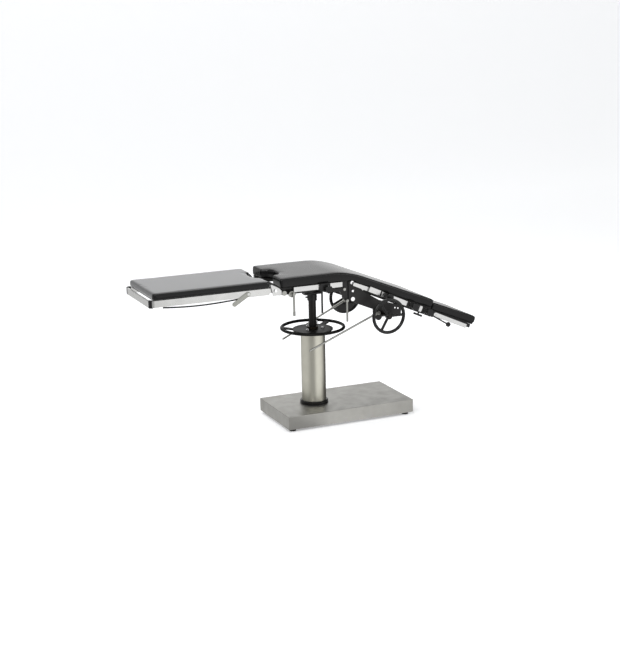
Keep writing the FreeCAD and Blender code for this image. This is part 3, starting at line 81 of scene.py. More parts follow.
def round_the_table(tree, spot):
    """Brightness that shiny faces see in each direction round the column. The angle, counted to the right
    from the camera's side, is the arc tangent of the part to the right over the part towards the camera.
    It reads a ramp of light and dark panels, and the result is doubled."""
    nodes, links = tree.nodes, tree.links
    ways = []
    for way in (level, Vector((-sin(yaw), -cos(yaw), 0.0))):
        dot = nodes.new("ShaderNodeVectorMath")
        dot.operation = "DOT_PRODUCT"
        dot.inputs[1].default_value = way
        links.new(spot, dot.inputs[0])
        ways.append(dot.outputs["Value"])
    angle = nodes.new("ShaderNodeMath")
    angle.operation = "ARCTAN2"
    links.new(ways[0], angle.inputs[0])
    links.new(ways[1], angle.inputs[1])
    share = nodes.new("ShaderNodeMapRange")
    share.inputs["From Min"].default_value = -pi
    share.inputs["From Max"].default_value = pi
    links.new(angle.outputs[0], share.inputs["Value"])
    ramp = nodes.new("ShaderNodeValToRGB")
    panels = (
        (-180, 0.62), (-164, 0.62), (-148, 0.3), (-110, 0.5), (-55, 0.5), (-25, 0.3), (8, 0.3),
        (28, 0.72), (65, 0.7), (92, 0.5), (118, 0.06), (156, 0.06), (168, 0.62), (180, 0.62))
    for stop, light in zip(ramp.color_ramp.elements, (panels[0][1], panels[-1][1])):
        stop.color = (light, light, light, 1)
    for degrees, light in panels[1:-1]:
        ramp.color_ramp.elements.new(degrees / 360 + 0.5).color = (light, light, light, 1)
    links.new(share.outputs["Result"], ramp.inputs["Fac"])
    double = nodes.new("ShaderNodeMath")
    double.operation = "MULTIPLY"
    double.inputs[1].default_value = 2.0
    links.new(ramp.outputs["Color"], double.inputs[0])
    return double.outputs[0]


paper = bpy.data.materials.new("white_paper")
paper.use_nodes = True
nodes, links = paper.node_tree.nodes, paper.node_tree.links
matt = nodes["Principled BSDF"]
matt.inputs["Base Color"].default_value = (0.93, 0.93, 0.93, 1)
matt.inputs["Roughness"].default_value = 0.9
glow = nodes.new("ShaderNodeEmission")
glow.inputs["Strength"].default_value = 0.34
both_lights = nodes.new("ShaderNodeAddShader")
links.new(matt.outputs[0], both_lights.inputs[0])
links.new(glow.outputs[0], both_lights.inputs[1])
panel_glow = nodes.new("ShaderNodeEmission")
paper_spot = nodes.new("ShaderNodeTexCoord")
links.new(round_the_table(paper.node_tree, paper_spot.outputs["Object"]), panel_glow.inputs["Strength"])
paper_sight = nodes.new("ShaderNodeLightPath")
paper_choice = nodes.new("ShaderNodeMixShader")
links.new(paper_sight.outputs["Is Glossy Ray"], paper_choice.inputs[0])
links.new(both_lights.outputs[0], paper_choice.inputs[1])
links.new(panel_glow.outputs[0], paper_choice.inputs[2])
links.new(paper_choice.outputs[0], nodes["Material Output"].inputs["Surface"])

# The paper lies level for 0.6 of its run, bends up through a quarter circle over
# the next 0.2 and stands upright for the last 0.2; lengths are in metres.
front, floor_length, bend, wall_height = -12, 20, 4, 8
across = np.linspace(-14.0, 14.0, 3)
run = np.linspace(0.0, 1.0, 60)
turned = np.clip((run - 0.6) / 0.2, 0, 1) * pi / 2
deep = np.where(run < 0.6, front + run / 0.6 * floor_length, front + floor_length + bend * np.sin(turned))
high = np.where(run < 0.6, 0.0, bend - bend * np.cos(turned))
high = high + np.clip(run - 0.8, 0, 1) / 0.2 * wall_height
sweep_points = [(x, y, z) for y, z in zip(deep, high) for x in across]
sweep_faces = []
for row in range(len(run) - 1):
    for column in range(len(across) - 1):
        corner = 3 * row + column
        sweep_faces.append((corner, corner + 1, corner + 4, corner + 3))
sweep_mesh = bpy.data.meshes.new("paper_sweep")
sweep_mesh.from_pydata(sweep_points, [], sweep_faces)
sweep_mesh.shade_smooth()
sweep_mesh.materials.append(paper)
paper_sweep = bpy.data.objects.new("paper_sweep", sweep_mesh)
scene.collection.objects.link(paper_sweep)

world = bpy.data.worlds.new("studio")
scene.world = world
world.use_nodes = True
nodes, links = world.node_tree.nodes, world.node_tree.links
room = nodes["Background"]
room.inputs["Color"].default_value = (0.9, 0.92, 0.95, 1)
room.inputs["Strength"].default_value = 0.55
white = nodes.new("ShaderNodeBackground")
white.inputs["Color"].default_value = (1, 1, 1, 1)
panel_sky = nodes.new("ShaderNodeBackground")
sky_spot = nodes.new("ShaderNodeTexCoord")
links.new(round_the_table(world.node_tree, sky_spot.outputs["Generated"]), panel_sky.inputs["Strength"])
sight = nodes.new("ShaderNodeLightPath")
for_camera = nodes.new("ShaderNodeMixShader")
for_gloss = nodes.new("ShaderNodeMixShader")
links.new(sight.outputs["Is Camera Ray"], for_camera.inputs[0])
links.new(room.outputs[0], for_camera.inputs[1])
links.new(white.outputs[0], for_camera.inputs[2])
links.new(sight.outputs["Is Glossy Ray"], for_gloss.inputs[0])
links.new(for_camera.outputs[0], for_gloss.inputs[1])
links.new(panel_sky.outputs[0], for_gloss.inputs[2])
links.new(for_gloss.outputs[0], nodes["World Output"].inputs["Surface"])

table_middle = Vector((0, 0, 0.6))
lamps = (
    ("key_lamp", (-3.2, -4.2, 4.6), 2.6, 170),
    ("fill_lamp", (3.6, -3.4, 3.2), 2.4, 60),
    ("top_lamp", (0.4, 1.2, 4.8), 3.0, 90))
for name, place, size, power in lamps:
    lamp_data = bpy.data.lights.new(name, "AREA")
    lamp_data.shape = "DISK"
    lamp_data.size = size
    lamp_data.energy = power
    lamp = bpy.data.objects.new(name, lamp_data)
    scene.collection.objects.link(lamp)
    lamp.location = place
    lamp.rotation_euler = (table_middle - Vector(place)).to_track_quat("-Z", "Y").to_euler()


# Base: a folded cover of brushed stainless sheet over a thick floor plate, on
# four levelling feet that screw up through the plate.
def enamel(name, colour, rough, drift=0.05, grain=260.0, depth=0.02, index=1.35):
    """Painted metal. With a broad noise the colour runs from itself to itself times one less twice drift,
    and the roughness from 0.8 to 1.25 times rough. A fine noise of scale grain lies over it as orange
    peel, ten times depth strong, and index is the paint's index of refraction."""
    paint = bpy.data.materials.new(name)
    paint.use_nodes = True
    nodes, links = paint.node_tree.nodes, paint.node_tree.links
    coat = nodes["Principled BSDF"]
    coat.inputs["IOR"].default_value = index
    spot = nodes.new("ShaderNodeTexCoord")
    patches = nodes.new("ShaderNodeTexNoise")
    patches.inputs["Scale"].default_value = 7.0
    patches.inputs["Detail"].default_value = 5.0
    links.new(spot.outputs["Object"], patches.inputs["Vector"])
    tint = nodes.new("ShaderNodeMix")
    tint.data_type = "RGBA"
    tint.inputs["A"].default_value = (*colour, 1)
    tint.inputs["B"].default_value = (*[c * (1 - drift * 2) for c in colour], 1)
    links.new(patches.outputs["Fac"], tint.inputs["Factor"])
    links.new(tint.outputs["Result"], coat.inputs["Base Color"])
    shine = nodes.new("ShaderNodeMapRange")
    shine.inputs["To Min"].default_value = rough * 0.8
    shine.inputs["To Max"].default_value = rough * 1.25
    links.new(patches.outputs["Fac"], shine.inputs["Value"])
    links.new(shine.outputs["Result"], coat.inputs["Roughness"])
    peel = nodes.new("ShaderNodeTexNoise")
    peel.inputs["Scale"].default_value = grain
    peel.inputs["Detail"].default_value = 2.0
    links.new(spot.outputs["Object"], peel.inputs["Vector"])
    ripple = nodes.new("ShaderNodeBump")
    ripple.inputs["Strength"].default_value = depth * 10
    ripple.inputs["Distance"].default_value = 0.0004
    links.new(peel.outputs["Fac"], ripple.inputs["Height"])
    links.new(ripple.outputs["Normal"], coat.inputs["Normal"])
    return paint


def dress(material, *names):
    """Give CAD nodes a finish."""
    for name in names:
        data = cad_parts[name].data
        data.materials.clear()
        data.materials.append(material)


def bright_metal(name, colour, rough, streak=0.0, wear=0.06, brushing=(1, 1, 1)):
    """Polished or ground metal. With a smeared noise the colour runs from itself to itself times one less
    twice wear, and the roughness from 0.7 to 1.4 times rough. A fine grain lies over it, streak stronger
    than on polished metal, and drawn out along the axis whose brushing scale is small."""
    metal = bpy.data.materials.new(name)
    metal.use_nodes = True
    nodes, links = metal.node_tree.nodes, metal.node_tree.links
    face = nodes["Principled BSDF"]
    face.inputs["Metallic"].default_value = 1.0
    spot = nodes.new("ShaderNodeTexCoord")
    smear = nodes.new("ShaderNodeTexNoise")
    smear.inputs["Scale"].default_value = 18.0
    smear.inputs["Detail"].default_value = 6.0
    links.new(spot.outputs["Object"], smear.inputs["Vector"])
    tint = nodes.new("ShaderNodeMix")
    tint.data_type = "RGBA"
    tint.inputs["A"].default_value = (*colour, 1)
    tint.inputs["B"].default_value = (*[c * (1 - wear * 2) for c in colour], 1)
    links.new(smear.outputs["Fac"], tint.inputs["Factor"])
    links.new(tint.outputs["Result"], face.inputs["Base Color"])
    shine = nodes.new("ShaderNodeMapRange")
    shine.inputs["To Min"].default_value = rough * 0.7
    shine.inputs["To Max"].default_value = rough * 1.4
    links.new(smear.outputs["Fac"], shine.inputs["Value"])
    links.new(shine.outputs["Result"], face.inputs["Roughness"])
    run = nodes.new("ShaderNodeMapping")
    run.inputs["Scale"].default_value = brushing
    links.new(spot.outputs["Object"], run.inputs["Vector"])
    grain = nodes.new("ShaderNodeTexNoise")
    grain.inputs["Scale"].default_value = 900.0
    links.new(run.outputs["Vector"], grain.inputs["Vector"])
    scratch = nodes.new("ShaderNodeBump")
    scratch.inputs["Strength"].default_value = 0.015 + streak
    scratch.inputs["Distance"].default_value = 0.0001
    links.new(grain.outputs["Fac"], scratch.inputs["Height"])
    links.new(scratch.outputs["Normal"], face.inputs["Normal"])
    return metal


base_steel = bright_metal("brushed_stainless_base", (0.34, 0.335, 0.315), 0.42, streak=0.25,
                          brushing=(0.04, 1, 1))
dress(base_steel, "base_cover")
dress(enamel("plate_primer", (0.05, 0.05, 0.05), 0.6), "base_plate")
dress(enamel("foot_rubber", (0.02, 0.02, 0.02), 0.6, grain=500), "levelling_feet")


# Column: a rolled stainless sleeve round a cast guide tube with bronze bushes, a
# black turned ring at its foot and a steel cap that carries the thrust bearing.
sleeve_steel = bright_metal("brushed_stainless_sleeve", (0.5, 0.49, 0.425), 0.3, streak=0.2,
                            brushing=(1, 1, 0.05))
ground_steel = bright_metal("ground_steel", (0.34, 0.34, 0.32), 0.32, streak=0.1)
dress(sleeve_steel, "column_sleeve")
dress(enamel("ring_black", (0.008, 0.0075, 0.007), 0.3), "column_foot_ring")
dress(ground_steel, "column_cap")
dress(enamel("cast_iron", (0.12, 0.12, 0.12), 0.6, grain=400, depth=0.06), "guide_tube")
dress(bright_metal("turned_bronze", (0.62, 0.42, 0.2), 0.35, streak=0.1), "guide_bushes")


# Level handwheel: a black cast wheel with a dished hub and three broad spokes,
# held by three chrome cap nuts; it turns the bronze nut of the lift screw.
chrome = bright_metal("bright_chrome", (0.84, 0.84, 0.85), 0.12)
wheel_black = enamel("worn_black_enamel", (0.006, 0.006, 0.0055), 0.4, grain=180, index=1.18)
dress(wheel_black, "lift_handwheel")
dress(chrome, "wheel_nuts_and_pin")
# The lift nut is given a near-black bronze, far darker than the guide bushes' bronze.
dress(bright_metal("near_black_bronze", (0.045, 0.036, 0.026), 0.4, streak=0.1), "lift_nut")


# Lift screw and tilting head: an oiled black steel screw with a lock ring, a
# fork for the sideways tilt and a block with the cross axle for the pitch.
oiled_steel = bright_metal("oiled_black_steel", (0.03, 0.028, 0.027), 0.36, streak=0.2)
frame_enamel = enamel("black_frame_enamel", (0.008, 0.0075, 0.0075), 0.34, grain=220)
dress(oiled_steel, "lift_screw", "tilt_block", "pitch_axle")
dress(frame_enamel, "lock_ring", "tilt_fork")


# Side handwheels: two upright cast wheels in gloss black enamel on oiled steel
# shafts. One works the pitch of the whole top and the other the back section.
wheel_gloss = enamel("gloss_black_enamel", (0.005, 0.005, 0.005), 0.24, grain=180, depth=0.01)
dress(wheel_gloss, "near_handwheel", "far_handwheel")
dress(oiled_steel, "near_wheel_shaft", "far_wheel_shaft")


# Frames, gussets, drive arms and gear housings: flat steel bar and plate, all
# in the same black enamel, bolted together with bright bolts. The boards that
# they carry are plywood, painted a dull black.
dress(frame_enamel, "seat_frame", "hinge_gussets", "drive_arms", "gear_housings", "back_frame",
      "head_frame", "rail_bands", "release_lever", "rod_clamp", "clamp_rod")
dress(chrome, "gusset_bolts")
dress(enamel("black_board", (0.01, 0.0095, 0.009), 0.55),
      "seat_board", "leg_board", "back_board", "head_board")


# Rails: polished flat steel bar along both sides of the seat, the back and the
# head, with the leg section's hinge brackets and the sockets of the same finish.
rail_steel = bright_metal("polished_rail", (0.56, 0.56, 0.555), 0.24)
dress(rail_steel, "seat_rails", "back_rails", "head_rails", "leg_hinge_brackets", "rail_sockets")


# Levers, rods and knobs: pins, rods and levers of plain ground steel, the leg
# lock's flat lever in grey enamel, and knobs and grips moulded in black.
dress(ground_steel, "pivot_pins", "gusset_rod", "tommy_bar", "clamp_eye", "near_lever", "far_lever")
dress(enamel("grey_lever_enamel", (0.3, 0.3, 0.27), 0.4), "leg_lock_lever")
dress(enamel("moulded_black", (0.005, 0.005, 0.005), 0.22),
      "rail_knob_1", "rail_knob_2", "rail_knob_3", "clamp_knob", "ball_lever", "rail_t_handle")


# Leg rail: one flat steel bar, bent round the foot end of the leg section and
# polished. A black band grips it at each corner of the foot end.
def add_piece(name, points, faces, material, body, smooth=True):
    """A new piece of these points and faces, in one finish, that rides on a body."""
    data = bpy.data.meshes.new(name)
    data.from_pydata(np.asarray(points).tolist(), [], faces)
    if smooth:
        data.shade_smooth()
    data.materials.append(material)
    piece = bpy.data.objects.new(name, data)
    scene.collection.objects.link(piece)
    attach(piece, body)
    return piece


def walls_between(rings, count):
    """Four-cornered faces between rings of count points that follow one another: a point, the next one on
    its ring, and the same two on the ring that follows."""
    i, j = np.meshgrid(np.arange(rings - 1), np.arange(count), indexing="ij")
    k = (j + 1) % count
    walls = np.stack((i * count + j, i * count + k, (i + 1) * count + k, (i + 1) * count + j), -1)
    return walls.reshape(-1, 4)


def band(centre, along, length, wide, tall, wall, sides=48):
    """A closed strap round a flat bar. Its outline is nearly a rectangle, the fourth roots of a circle's
    cosine and sine times half the width and half the height, less the wall inside. The inner and the
    outer outline are carried half the length each way along the bar."""
    along = np.array([*along, 0.0]) / np.hypot(*along)
    across = np.cross([0, 0, 1], along)
    angle = np.linspace(0, 2 * pi, sides, endpoint=False) + pi / sides
    outline = [np.sign(wave) * np.abs(wave) ** 0.25 for wave in (np.cos(angle), np.sin(angle))]
    loops = []
    for inset, end in ((wall, -1), (wall, 1), (0, 1), (0, -1)):
        sideways = (wide / 2 - inset) * outline[0]
        upwards = (tall / 2 - inset) * outline[1]
        loop = np.asarray(centre) + sideways[:, None] * across + upwards[:, None] * [0, 0, 1]
        loops.append(loop + end * length / 2 * along)
    i, j = np.meshgrid(np.arange(4), np.arange(sides), indexing="ij")
    k, n = (j + 1) % sides, (i + 1) % 4
    walls = np.stack((i * sides + j, n * sides + j, n * sides + k, i * sides + k), -1)
    return np.concatenate(loops), walls.reshape(-1, 4).tolist()


dress(bright_metal("polished_leg_rail", (0.56, 0.56, 0.55), 0.26), "leg_frame")
band_rubber = enamel("band_black", (0.005, 0.005, 0.005), 0.4)
corner_inset = 0.0145
band_size = {"length": 0.022, "wide": 0.0192, "tall": 0.0475, "wall": 0.003}
leg_low, leg_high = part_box("leg_frame")
rail_middle = (leg_low[2] + leg_high[2]) / 2
for side, name in ((-1, "near_corner_band"), (1, "far_corner_band")):
    centre = (leg_low[0] + corner_inset, side * (leg_high[1] - corner_inset), rail_middle)
    points, faces = band(centre, (1, side), **band_size)
    add_piece(name, points, faces, band_rubber, "leg")


# Bolt and screw heads: a six-sided bolt on each leg hinge bracket, and two round
# screws on each arm's cover behind the side wheel, all of them polished steel.
def screw_head(name, x, y, z, radius, height, sides, body):
    """A polished head on a plate's outer face: a prism of the given number of sides that lies along y and
    stands out away from the middle of the table. Its rim is turned off over the last quarter of the
    height, to 0.88 of the radius."""
    out = np.sign(y)
    angle = np.linspace(0, 2 * pi, sides, endpoint=False)
    loops = []
    for share, rise in ((1, 0), (1, 0.75), (0.88, 1)):
        across_x = x + radius * share * np.cos(angle)
        across_z = z + radius * share * np.sin(angle)
        loops.append(np.column_stack((across_x, np.full(sides, y + out * height * rise), across_z)))
    faces = walls_between(3, sides).tolist()
    faces += [list(range(sides - 1, -1, -1)), list(range(2 * sides, 3 * sides))]
    if out > 0:
        faces = [face[::-1] for face in faces]
    add_piece(name, np.concatenate(loops), faces, chrome, body, smooth=False)


bolt_x, bolt_z = -0.346, 0.908
bolt_radius, bolt_height, bolt_sides = 0.0095, 0.006, 6
cover_screws = ((0.466, 0.7115), (0.487, 0.7065))
screw_radius, screw_height, screw_sides = 0.0055, 0.004, 24
bracket_face = abs(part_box("leg_hinge_brackets")[0][1]) + 0.0002
cover_face = abs(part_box("hinge_gussets")[0][1]) + 0.0082
for side, name in ((-1, "near"), (1, "far")):
    screw_head(name + "_leg_hinge_bolt", bolt_x, side * bracket_face, bolt_z,
               bolt_radius, bolt_height, bolt_sides, "seat")
    for number, (x, z) in enumerate(cover_screws, 1):
        screw_head(f"{name}_cover_screw_{number}", x, side * cover_face, z,
                   screw_radius, screw_height, screw_sides, "seat")


# Leg lock rod: a bowed black steel rod under the near leg rail, by which the flat
# lever works the hinge lock.
def tube(path, radius, sides=16):
    """Points and faces of a round bar along a path, with flat ends. At each point of the path stands a
    circle square to the run: cosine times the run's level side plus sine times the rise that is square
    to both, times the radius."""
    run = np.gradient(path, axis=0)
    run /= np.linalg.norm(run, axis=1)[:, None]
    side = np.cross(run, [0.0, 0.0, 1.0])
    side /= np.linalg.norm(side, axis=1)[:, None]
    rise = np.cross(side, run)
    angle = np.linspace(0, 2 * pi, sides, endpoint=False)
    ring = np.cos(angle)[None, :, None] * side[:, None] + np.sin(angle)[None, :, None] * rise[:, None]
    points = (path[:, None] + ring * radius).reshape(-1, 3)
    faces = walls_between(len(path), sides)[:, ::-1].tolist()
    last = (len(path) - 1) * sides
    faces += [list(range(sides)), list(range(last + sides - 1, last - 1, -1))]
    return points, faces


rod_from, rod_length, rod_y, rod_z = -1.05, 0.47, -0.2312, 0.8786
rod_bow, rod_radius = 0.011, 0.0046
share = np.linspace(0, 1, 60)
drop = np.sin(pi * share ** 0.95) * rod_bow
rod_path = np.column_stack((rod_from + rod_length * share, np.full(60, rod_y), rod_z - drop))
points, faces = tube(rod_path, rod_radius)
add_piece("leg_lock_rod", points, faces, band_rubber, "leg")


# Cushions: blocks of firm foam under smooth black vinyl, laid on the plywood
# boards. Each starts as a slab with rounded edges, which is then filled out a
# little as cloth under pressure.
def vinyl(name, shade, rough, lift):
    """Black upholstery vinyl. With a broad noise the colour runs from shade to 0.85 of it, and the
    roughness from 0.85 to 1.15 times rough. Fine pores lie over it, and lift is the strength of a
    painted sheen: a bloom of light at low angles that stands in for brighter light falling on it."""
    cloth = bpy.data.materials.new(name)
    cloth.use_nodes = True
    nodes, links = cloth.node_tree.nodes, cloth.node_tree.links
    face = nodes["Principled BSDF"]
    face.inputs["IOR"].default_value = 1.3
    face.inputs["Sheen Weight"].default_value = lift
    face.inputs["Sheen Roughness"].default_value = 0.3
    face.inputs["Sheen Tint"].default_value = (1, 1, 1, 1)
    spot = nodes.new("ShaderNodeTexCoord")
    patches = nodes.new("ShaderNodeTexNoise")
    patches.inputs["Scale"].default_value = 5.0
    patches.inputs["Detail"].default_value = 4.0
    links.new(spot.outputs["Object"], patches.inputs["Vector"])
    tint = nodes.new("ShaderNodeMix")
    tint.data_type = "RGBA"
    tint.inputs["A"].default_value = (shade, shade, shade * 1.02, 1)
    tint.inputs["B"].default_value = (shade * 0.85, shade * 0.85, shade * 0.87, 1)
    links.new(patches.outputs["Fac"], tint.inputs["Factor"])
    links.new(tint.outputs["Result"], face.inputs["Base Color"])
    shine = nodes.new("ShaderNodeMapRange")
    shine.inputs["To Min"].default_value = rough * 0.85
    shine.inputs["To Max"].default_value = rough * 1.15
    links.new(patches.outputs["Fac"], shine.inputs["Value"])
    links.new(shine.outputs["Result"], face.inputs["Roughness"])
    pores = nodes.new("ShaderNodeTexVoronoi")
    pores.inputs["Scale"].default_value = 700.0
    links.new(spot.outputs["Object"], pores.inputs["Vector"])
    press = nodes.new("ShaderNodeBump")
    press.inputs["Strength"].default_value = 0.03
    press.inputs["Distance"].default_value = 0.0002
    links.new(pores.outputs["Distance"], press.inputs["Height"])
    links.new(press.outputs["Normal"], face.inputs["Normal"])
    return cloth


def rounded_plan(corners, step=0.006):
    """A closed outline through the corners, each given as x, y and radius. A corner becomes an arc that
    leaves both sides at the radius over the tangent of half the corner's angle, and the whole outline is
    then divided evenly, about a step at a time."""
    places = np.array([c[:2] for c in corners], float)
    arcs = []
    for i, (x, y, r) in enumerate(corners):
        here = places[i]
        back, on = places[i - 1] - here, places[(i + 1) % len(corners)] - here
        back, on = back / np.linalg.norm(back), on / np.linalg.norm(on)
        half = np.arccos(np.clip(back @ on, -1, 1)) / 2
        middle = here + (back + on) / np.linalg.norm(back + on) * r / np.sin(half)
        first = here + back * r / np.tan(half) - middle
        last = here + on * r / np.tan(half) - middle
        start = np.arctan2(first[1], first[0])
        sweep = (np.arctan2(last[1], last[0]) - start + pi) % (2 * pi) - pi
        angle = start + sweep * np.linspace(0, 1, 7)
        arcs.append(middle + r * np.column_stack((np.cos(angle), np.sin(angle))))
    loop = np.concatenate(arcs)
    whole = np.vstack((loop, loop[:1]))
    length = np.concatenate(([0], np.cumsum(np.linalg.norm(np.diff(whole, axis=0), axis=1))))
    even = np.linspace(0, length[-1], int(length[-1] / step), endpoint=False)
    return np.column_stack((np.interp(even, length, whole[:, 0]), np.interp(even, length, whole[:, 1])))


def cushion_mesh(name, corners, thick, edge):
    """A closed slab, drawn in all round and carried up a side profile: a quarter circle of 0.6 times edge
    at the bottom, a point that stands out by the swell half way up, and a quarter circle of radius edge
    at the top."""
    swell, drawn_in = 0.0015, 0.002
    plan = rounded_plan(corners)
    forward = np.roll(plan, -1, 0) - np.roll(plan, 1, 0)
    outward = np.column_stack((forward[:, 1], -forward[:, 0]))
    outward /= np.linalg.norm(outward, axis=1)[:, None]
    bend = np.linspace(0, pi / 2, 6)
    low = np.column_stack((-edge * 0.6 * (1 - np.sin(bend)), edge * 0.6 * (1 - np.cos(bend))))
    high = np.column_stack((-edge * (1 - np.cos(bend)), thick - edge * (1 - np.sin(bend))))
    profile = np.vstack((low, [[swell, thick * 0.5]], high)) - [drawn_in, 0]
    rings = plan[None] + outward[None] * profile[:, 0][:, None, None]
    heights = np.repeat(profile[:, 1][:, None], len(plan), 1)
    points = np.concatenate((rings, heights[..., None]), 2).reshape(-1, 3)
    rows, count = len(profile), len(plan)
    faces = walls_between(rows, count).tolist()
    faces += [list(range(count - 1, -1, -1)), list(range((rows - 1) * count, rows * count))]
    data = bpy.data.meshes.new(name)
    data.from_pydata(points.tolist(), [], faces)
    piece = bpy.data.objects.new(name, data)
    scene.collection.objects.link(piece)
    return piece


def applied(piece):
    """Make what the modifiers show the piece's own mesh."""
    seen = piece.evaluated_get(bpy.context.evaluated_depsgraph_get())
    data = bpy.data.meshes.new_from_object(seen)
    piece.modifiers.clear()
    piece.data = data
    data.name = piece.name


def corners_of(piece):
    """The piece's points, one row of x, y and z each."""
    flat = np.empty(len(piece.data.vertices) * 3, np.float32)
    piece.data.vertices.foreach_get("co", flat)
    return flat.reshape(-1, 3).astype(float)


def upholster(name, corners, thick, edge, voxel, cap, shape):
    """The slab, remeshed in voxels and blown out a little as cloth under pressure. A point that moves
    further than cap is pulled back along its way to that distance, and none goes below the board. The
    shape then carries the points to their place."""
    pressed_steps = 20
    piece = cushion_mesh(name, corners, thick, edge)
    grid = piece.modifiers.new("grid", "REMESH")
    grid.mode = "VOXEL"
    grid.voxel_size = voxel
    applied(piece)
    before = corners_of(piece)
    after = before
    cover = piece.modifiers.new("cover", "CLOTH")
    cover.settings.use_pressure = True
    cover.settings.uniform_pressure_force = 4.0
    cover.settings.effector_weights.gravity = 0.0
    cover.settings.tension_stiffness = 30
    cover.settings.compression_stiffness = 30
    cover.settings.bending_stiffness = 5
    for step in range(1, pressed_steps + 1):
        scene.frame_set(step)
    applied(piece)
    after = corners_of(piece)
    scene.frame_set(1)
    moved = after - before
    far = np.linalg.norm(moved, axis=1)
    points = before + moved * np.minimum(1, cap / np.maximum(far, 1e-9))[:, None]
    points[:, 2] = np.maximum(points[:, 2], 0)
    piece.data.vertices.foreach_set("co", shape(points).astype(np.float32).ravel())
    piece.data.shade_smooth()
    piece.data.update()
    return piece


def opening(end, shallow, deep, side):
    """Corners of the rounded cut in the middle of a cushion's end, from one side over to the other:
    shallow and deep are how far its flanks and its bottom lie from the end."""
    return (
        (end, side * 0.1, 0.012), (end + shallow, side * 0.08, 0.02), (end + deep, side * 0.04, 0.02),
        (end + deep, -side * 0.04, 0.02), (end + shallow, -side * 0.08, 0.02), (end, -side * 0.1, 0.012))


seat_vinyl = vinyl("seat_vinyl", shade=0.005, rough=0.25, lift=0.0)
# The leg cushion's copy of the vinyl carries a painted sheen, a bloom of light at low angles that stands
# in for the brighter light on it.
leg_vinyl_painted_sheen = vinyl("leg_vinyl_painted_sheen", shade=0.005, rough=0.25, lift=1.0)
side_line = 0.243


# Mattress: the seat and the back share one cushion, level over the seat, bent
# over the hinge between them and sloping with the back; a rounded opening is cut
# into its foot end.
slope = radians(22.2)
hinge = np.array([0.172, 0.902])


def on_back(s, z):
    """x and z of a point on the sloping back: its hinge, plus s down the slope and z square to it."""
    return hinge[0] + s * cos(slope) + z * sin(slope), hinge[1] - s * sin(slope) + z * cos(slope)


# The top line turns over an arc. It leaves the seat's level line at arc_from and
# meets the back's sloping line as far beyond the ridge where the two would cross.
seat_top, seat_low, seat_left = 0.974, 0.917, -0.308
back_top, back_low, back_end = 0.0568, 0.0068, 0.599
arc_from = 0.0353
ridge = on_back(0, back_top)[0] - (seat_top - on_back(0, back_top)[1]) / tan(slope)
reach = ridge - arc_from
bend_radius = reach / tan(slope / 2)
flat_run = ridge - reach - seat_left
arc_run = bend_radius * slope
arc_end = reach - (on_back(0, back_top)[0] - ridge) / cos(slope)
whole_run = flat_run + arc_run + back_end - arc_end

# The underside keeps to the seat's board, crosses the hinge in two short steps and
# goes on along the back's board.
board_end = 0.152
over_hinge = (0.176, 0.916)
board_again = 0.0462


def lie_on_seat_and_back(points):
    """Carry the flat mattress to the table: its run goes level along the seat, round an arc over the
    hinge and down the back; its height goes from the boards' faces to the top line."""
    run = points[:, 0]
    bent = np.clip((run - flat_run) / bend_radius, 0, slope)
    beyond = np.maximum(run - flat_run - arc_run, 0)
    before = np.minimum(run, flat_run)
    top_x = seat_left + before + bend_radius * np.sin(bent) + beyond * cos(slope)
    top_z = seat_top - bend_radius * (1 - np.cos(bent)) - beyond * sin(slope)
    stops = np.array([
        [seat_left, seat_low], [seat_left + flat_run, seat_low], [board_end, seat_low], over_hinge,
        on_back(board_again, back_low), on_back(arc_end, back_low), on_back(back_end, back_low)])
    steps = np.linalg.norm(np.diff(stops, axis=0), axis=1)
    middle = np.concatenate(([0], np.cumsum(steps[1:5]))) / steps[1:5].sum()
    marks = np.concatenate(([0], flat_run + arc_run * middle, [whole_run]))
    low_x = np.interp(run, marks, stops[:, 0])
    low_z = np.interp(run, marks, stops[:, 1])
    share = points[:, 2] / (seat_top - seat_low)
    x = low_x + (top_x - low_x) * share
    z = low_z + (top_z - low_z) * share
    return np.column_stack((x, points[:, 1], z))


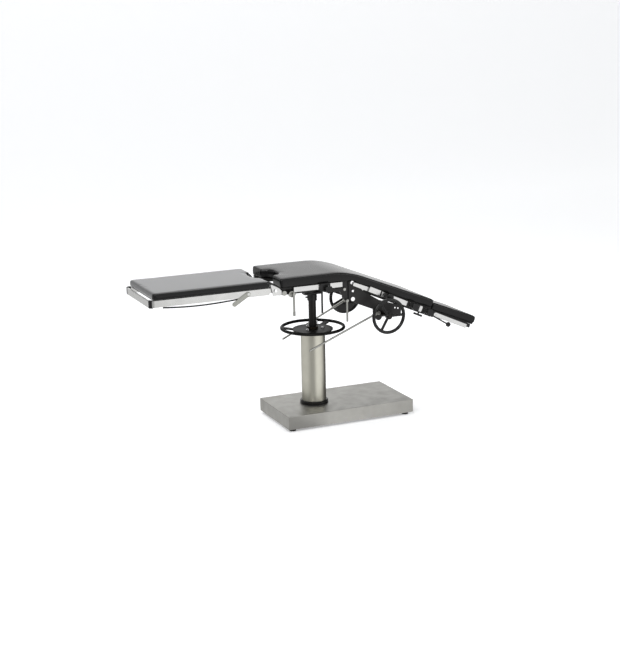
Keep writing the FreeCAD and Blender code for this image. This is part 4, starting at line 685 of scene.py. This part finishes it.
mattress_plan = (
    (0, -side_line, 0.016), (whole_run, -side_line, 0.02), (whole_run, side_line, 0.02),
    (0, side_line, 0.016), *opening(0, shallow=0.045, deep=0.062, side=1))
mattress = upholster("seat_back_mattress", mattress_plan, seat_top - seat_low, edge=0.011,
                     voxel=0.006, cap=0.0035, shape=lie_on_seat_and_back)
mattress.data.materials.append(seat_vinyl)
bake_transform(mattress)
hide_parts("seat_pad", "back_pad", "mattress_bend")


# Leg cushion: a thinner flat cushion on the leg section's board, with a rounded
# opening that faces the mattress's. Its vinyl is the seat's, with a painted sheen
# that stands in for the brighter light that falls on the leg cushion.
leg_from, leg_to = -1.115, -0.374
leg_board_top, leg_thick = 0.928, 0.037


def lie_on_leg(points):
    """The flat cushion raised to the leg's board."""
    return points + [0, 0, leg_board_top]


leg_plan = (
    (leg_from, -side_line, 0.022), (leg_to, -side_line, 0.016),
    *opening(leg_to, shallow=-0.027, deep=-0.038, side=-1),
    (leg_to, side_line, 0.016), (leg_from, side_line, 0.022))
leg_cushion = upholster("leg_cushion", leg_plan, leg_thick, edge=0.01, voxel=0.0055, cap=0.003,
                        shape=lie_on_leg)
leg_cushion.data.materials.append(leg_vinyl_painted_sheen)
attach(leg_cushion, "leg")
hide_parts("leg_pad")


# Head cushion: a narrower cushion of the same make, which starts just beyond the
# mattress's end. On the real table its first 76 mm bend with the joint between
# back and head, but here the whole cushion lies along the back's slope.
head_from, head_to, head_side = 0.604, 0.9575, 0.2095
head_low, head_thick = 0.0062, 0.044


def lie_on_head(points):
    """The flat cushion laid along the back's slope, its underside set below the hinge's line."""
    x, z = on_back(points[:, 0], points[:, 2] - head_low)
    return np.column_stack((x, points[:, 1], z))


head_plan = (
    (head_from, -head_side, 0.018), (head_to, -head_side, 0.022),
    (head_to, head_side, 0.022), (head_from, head_side, 0.018))
head_cushion = upholster("head_cushion", head_plan, head_thick, edge=0.01, voxel=0.005, cap=0.003,
                         shape=lie_on_head)
head_cushion.data.materials.append(seat_vinyl)
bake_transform(head_cushion)
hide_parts("head_pad", "head_pad_bend")
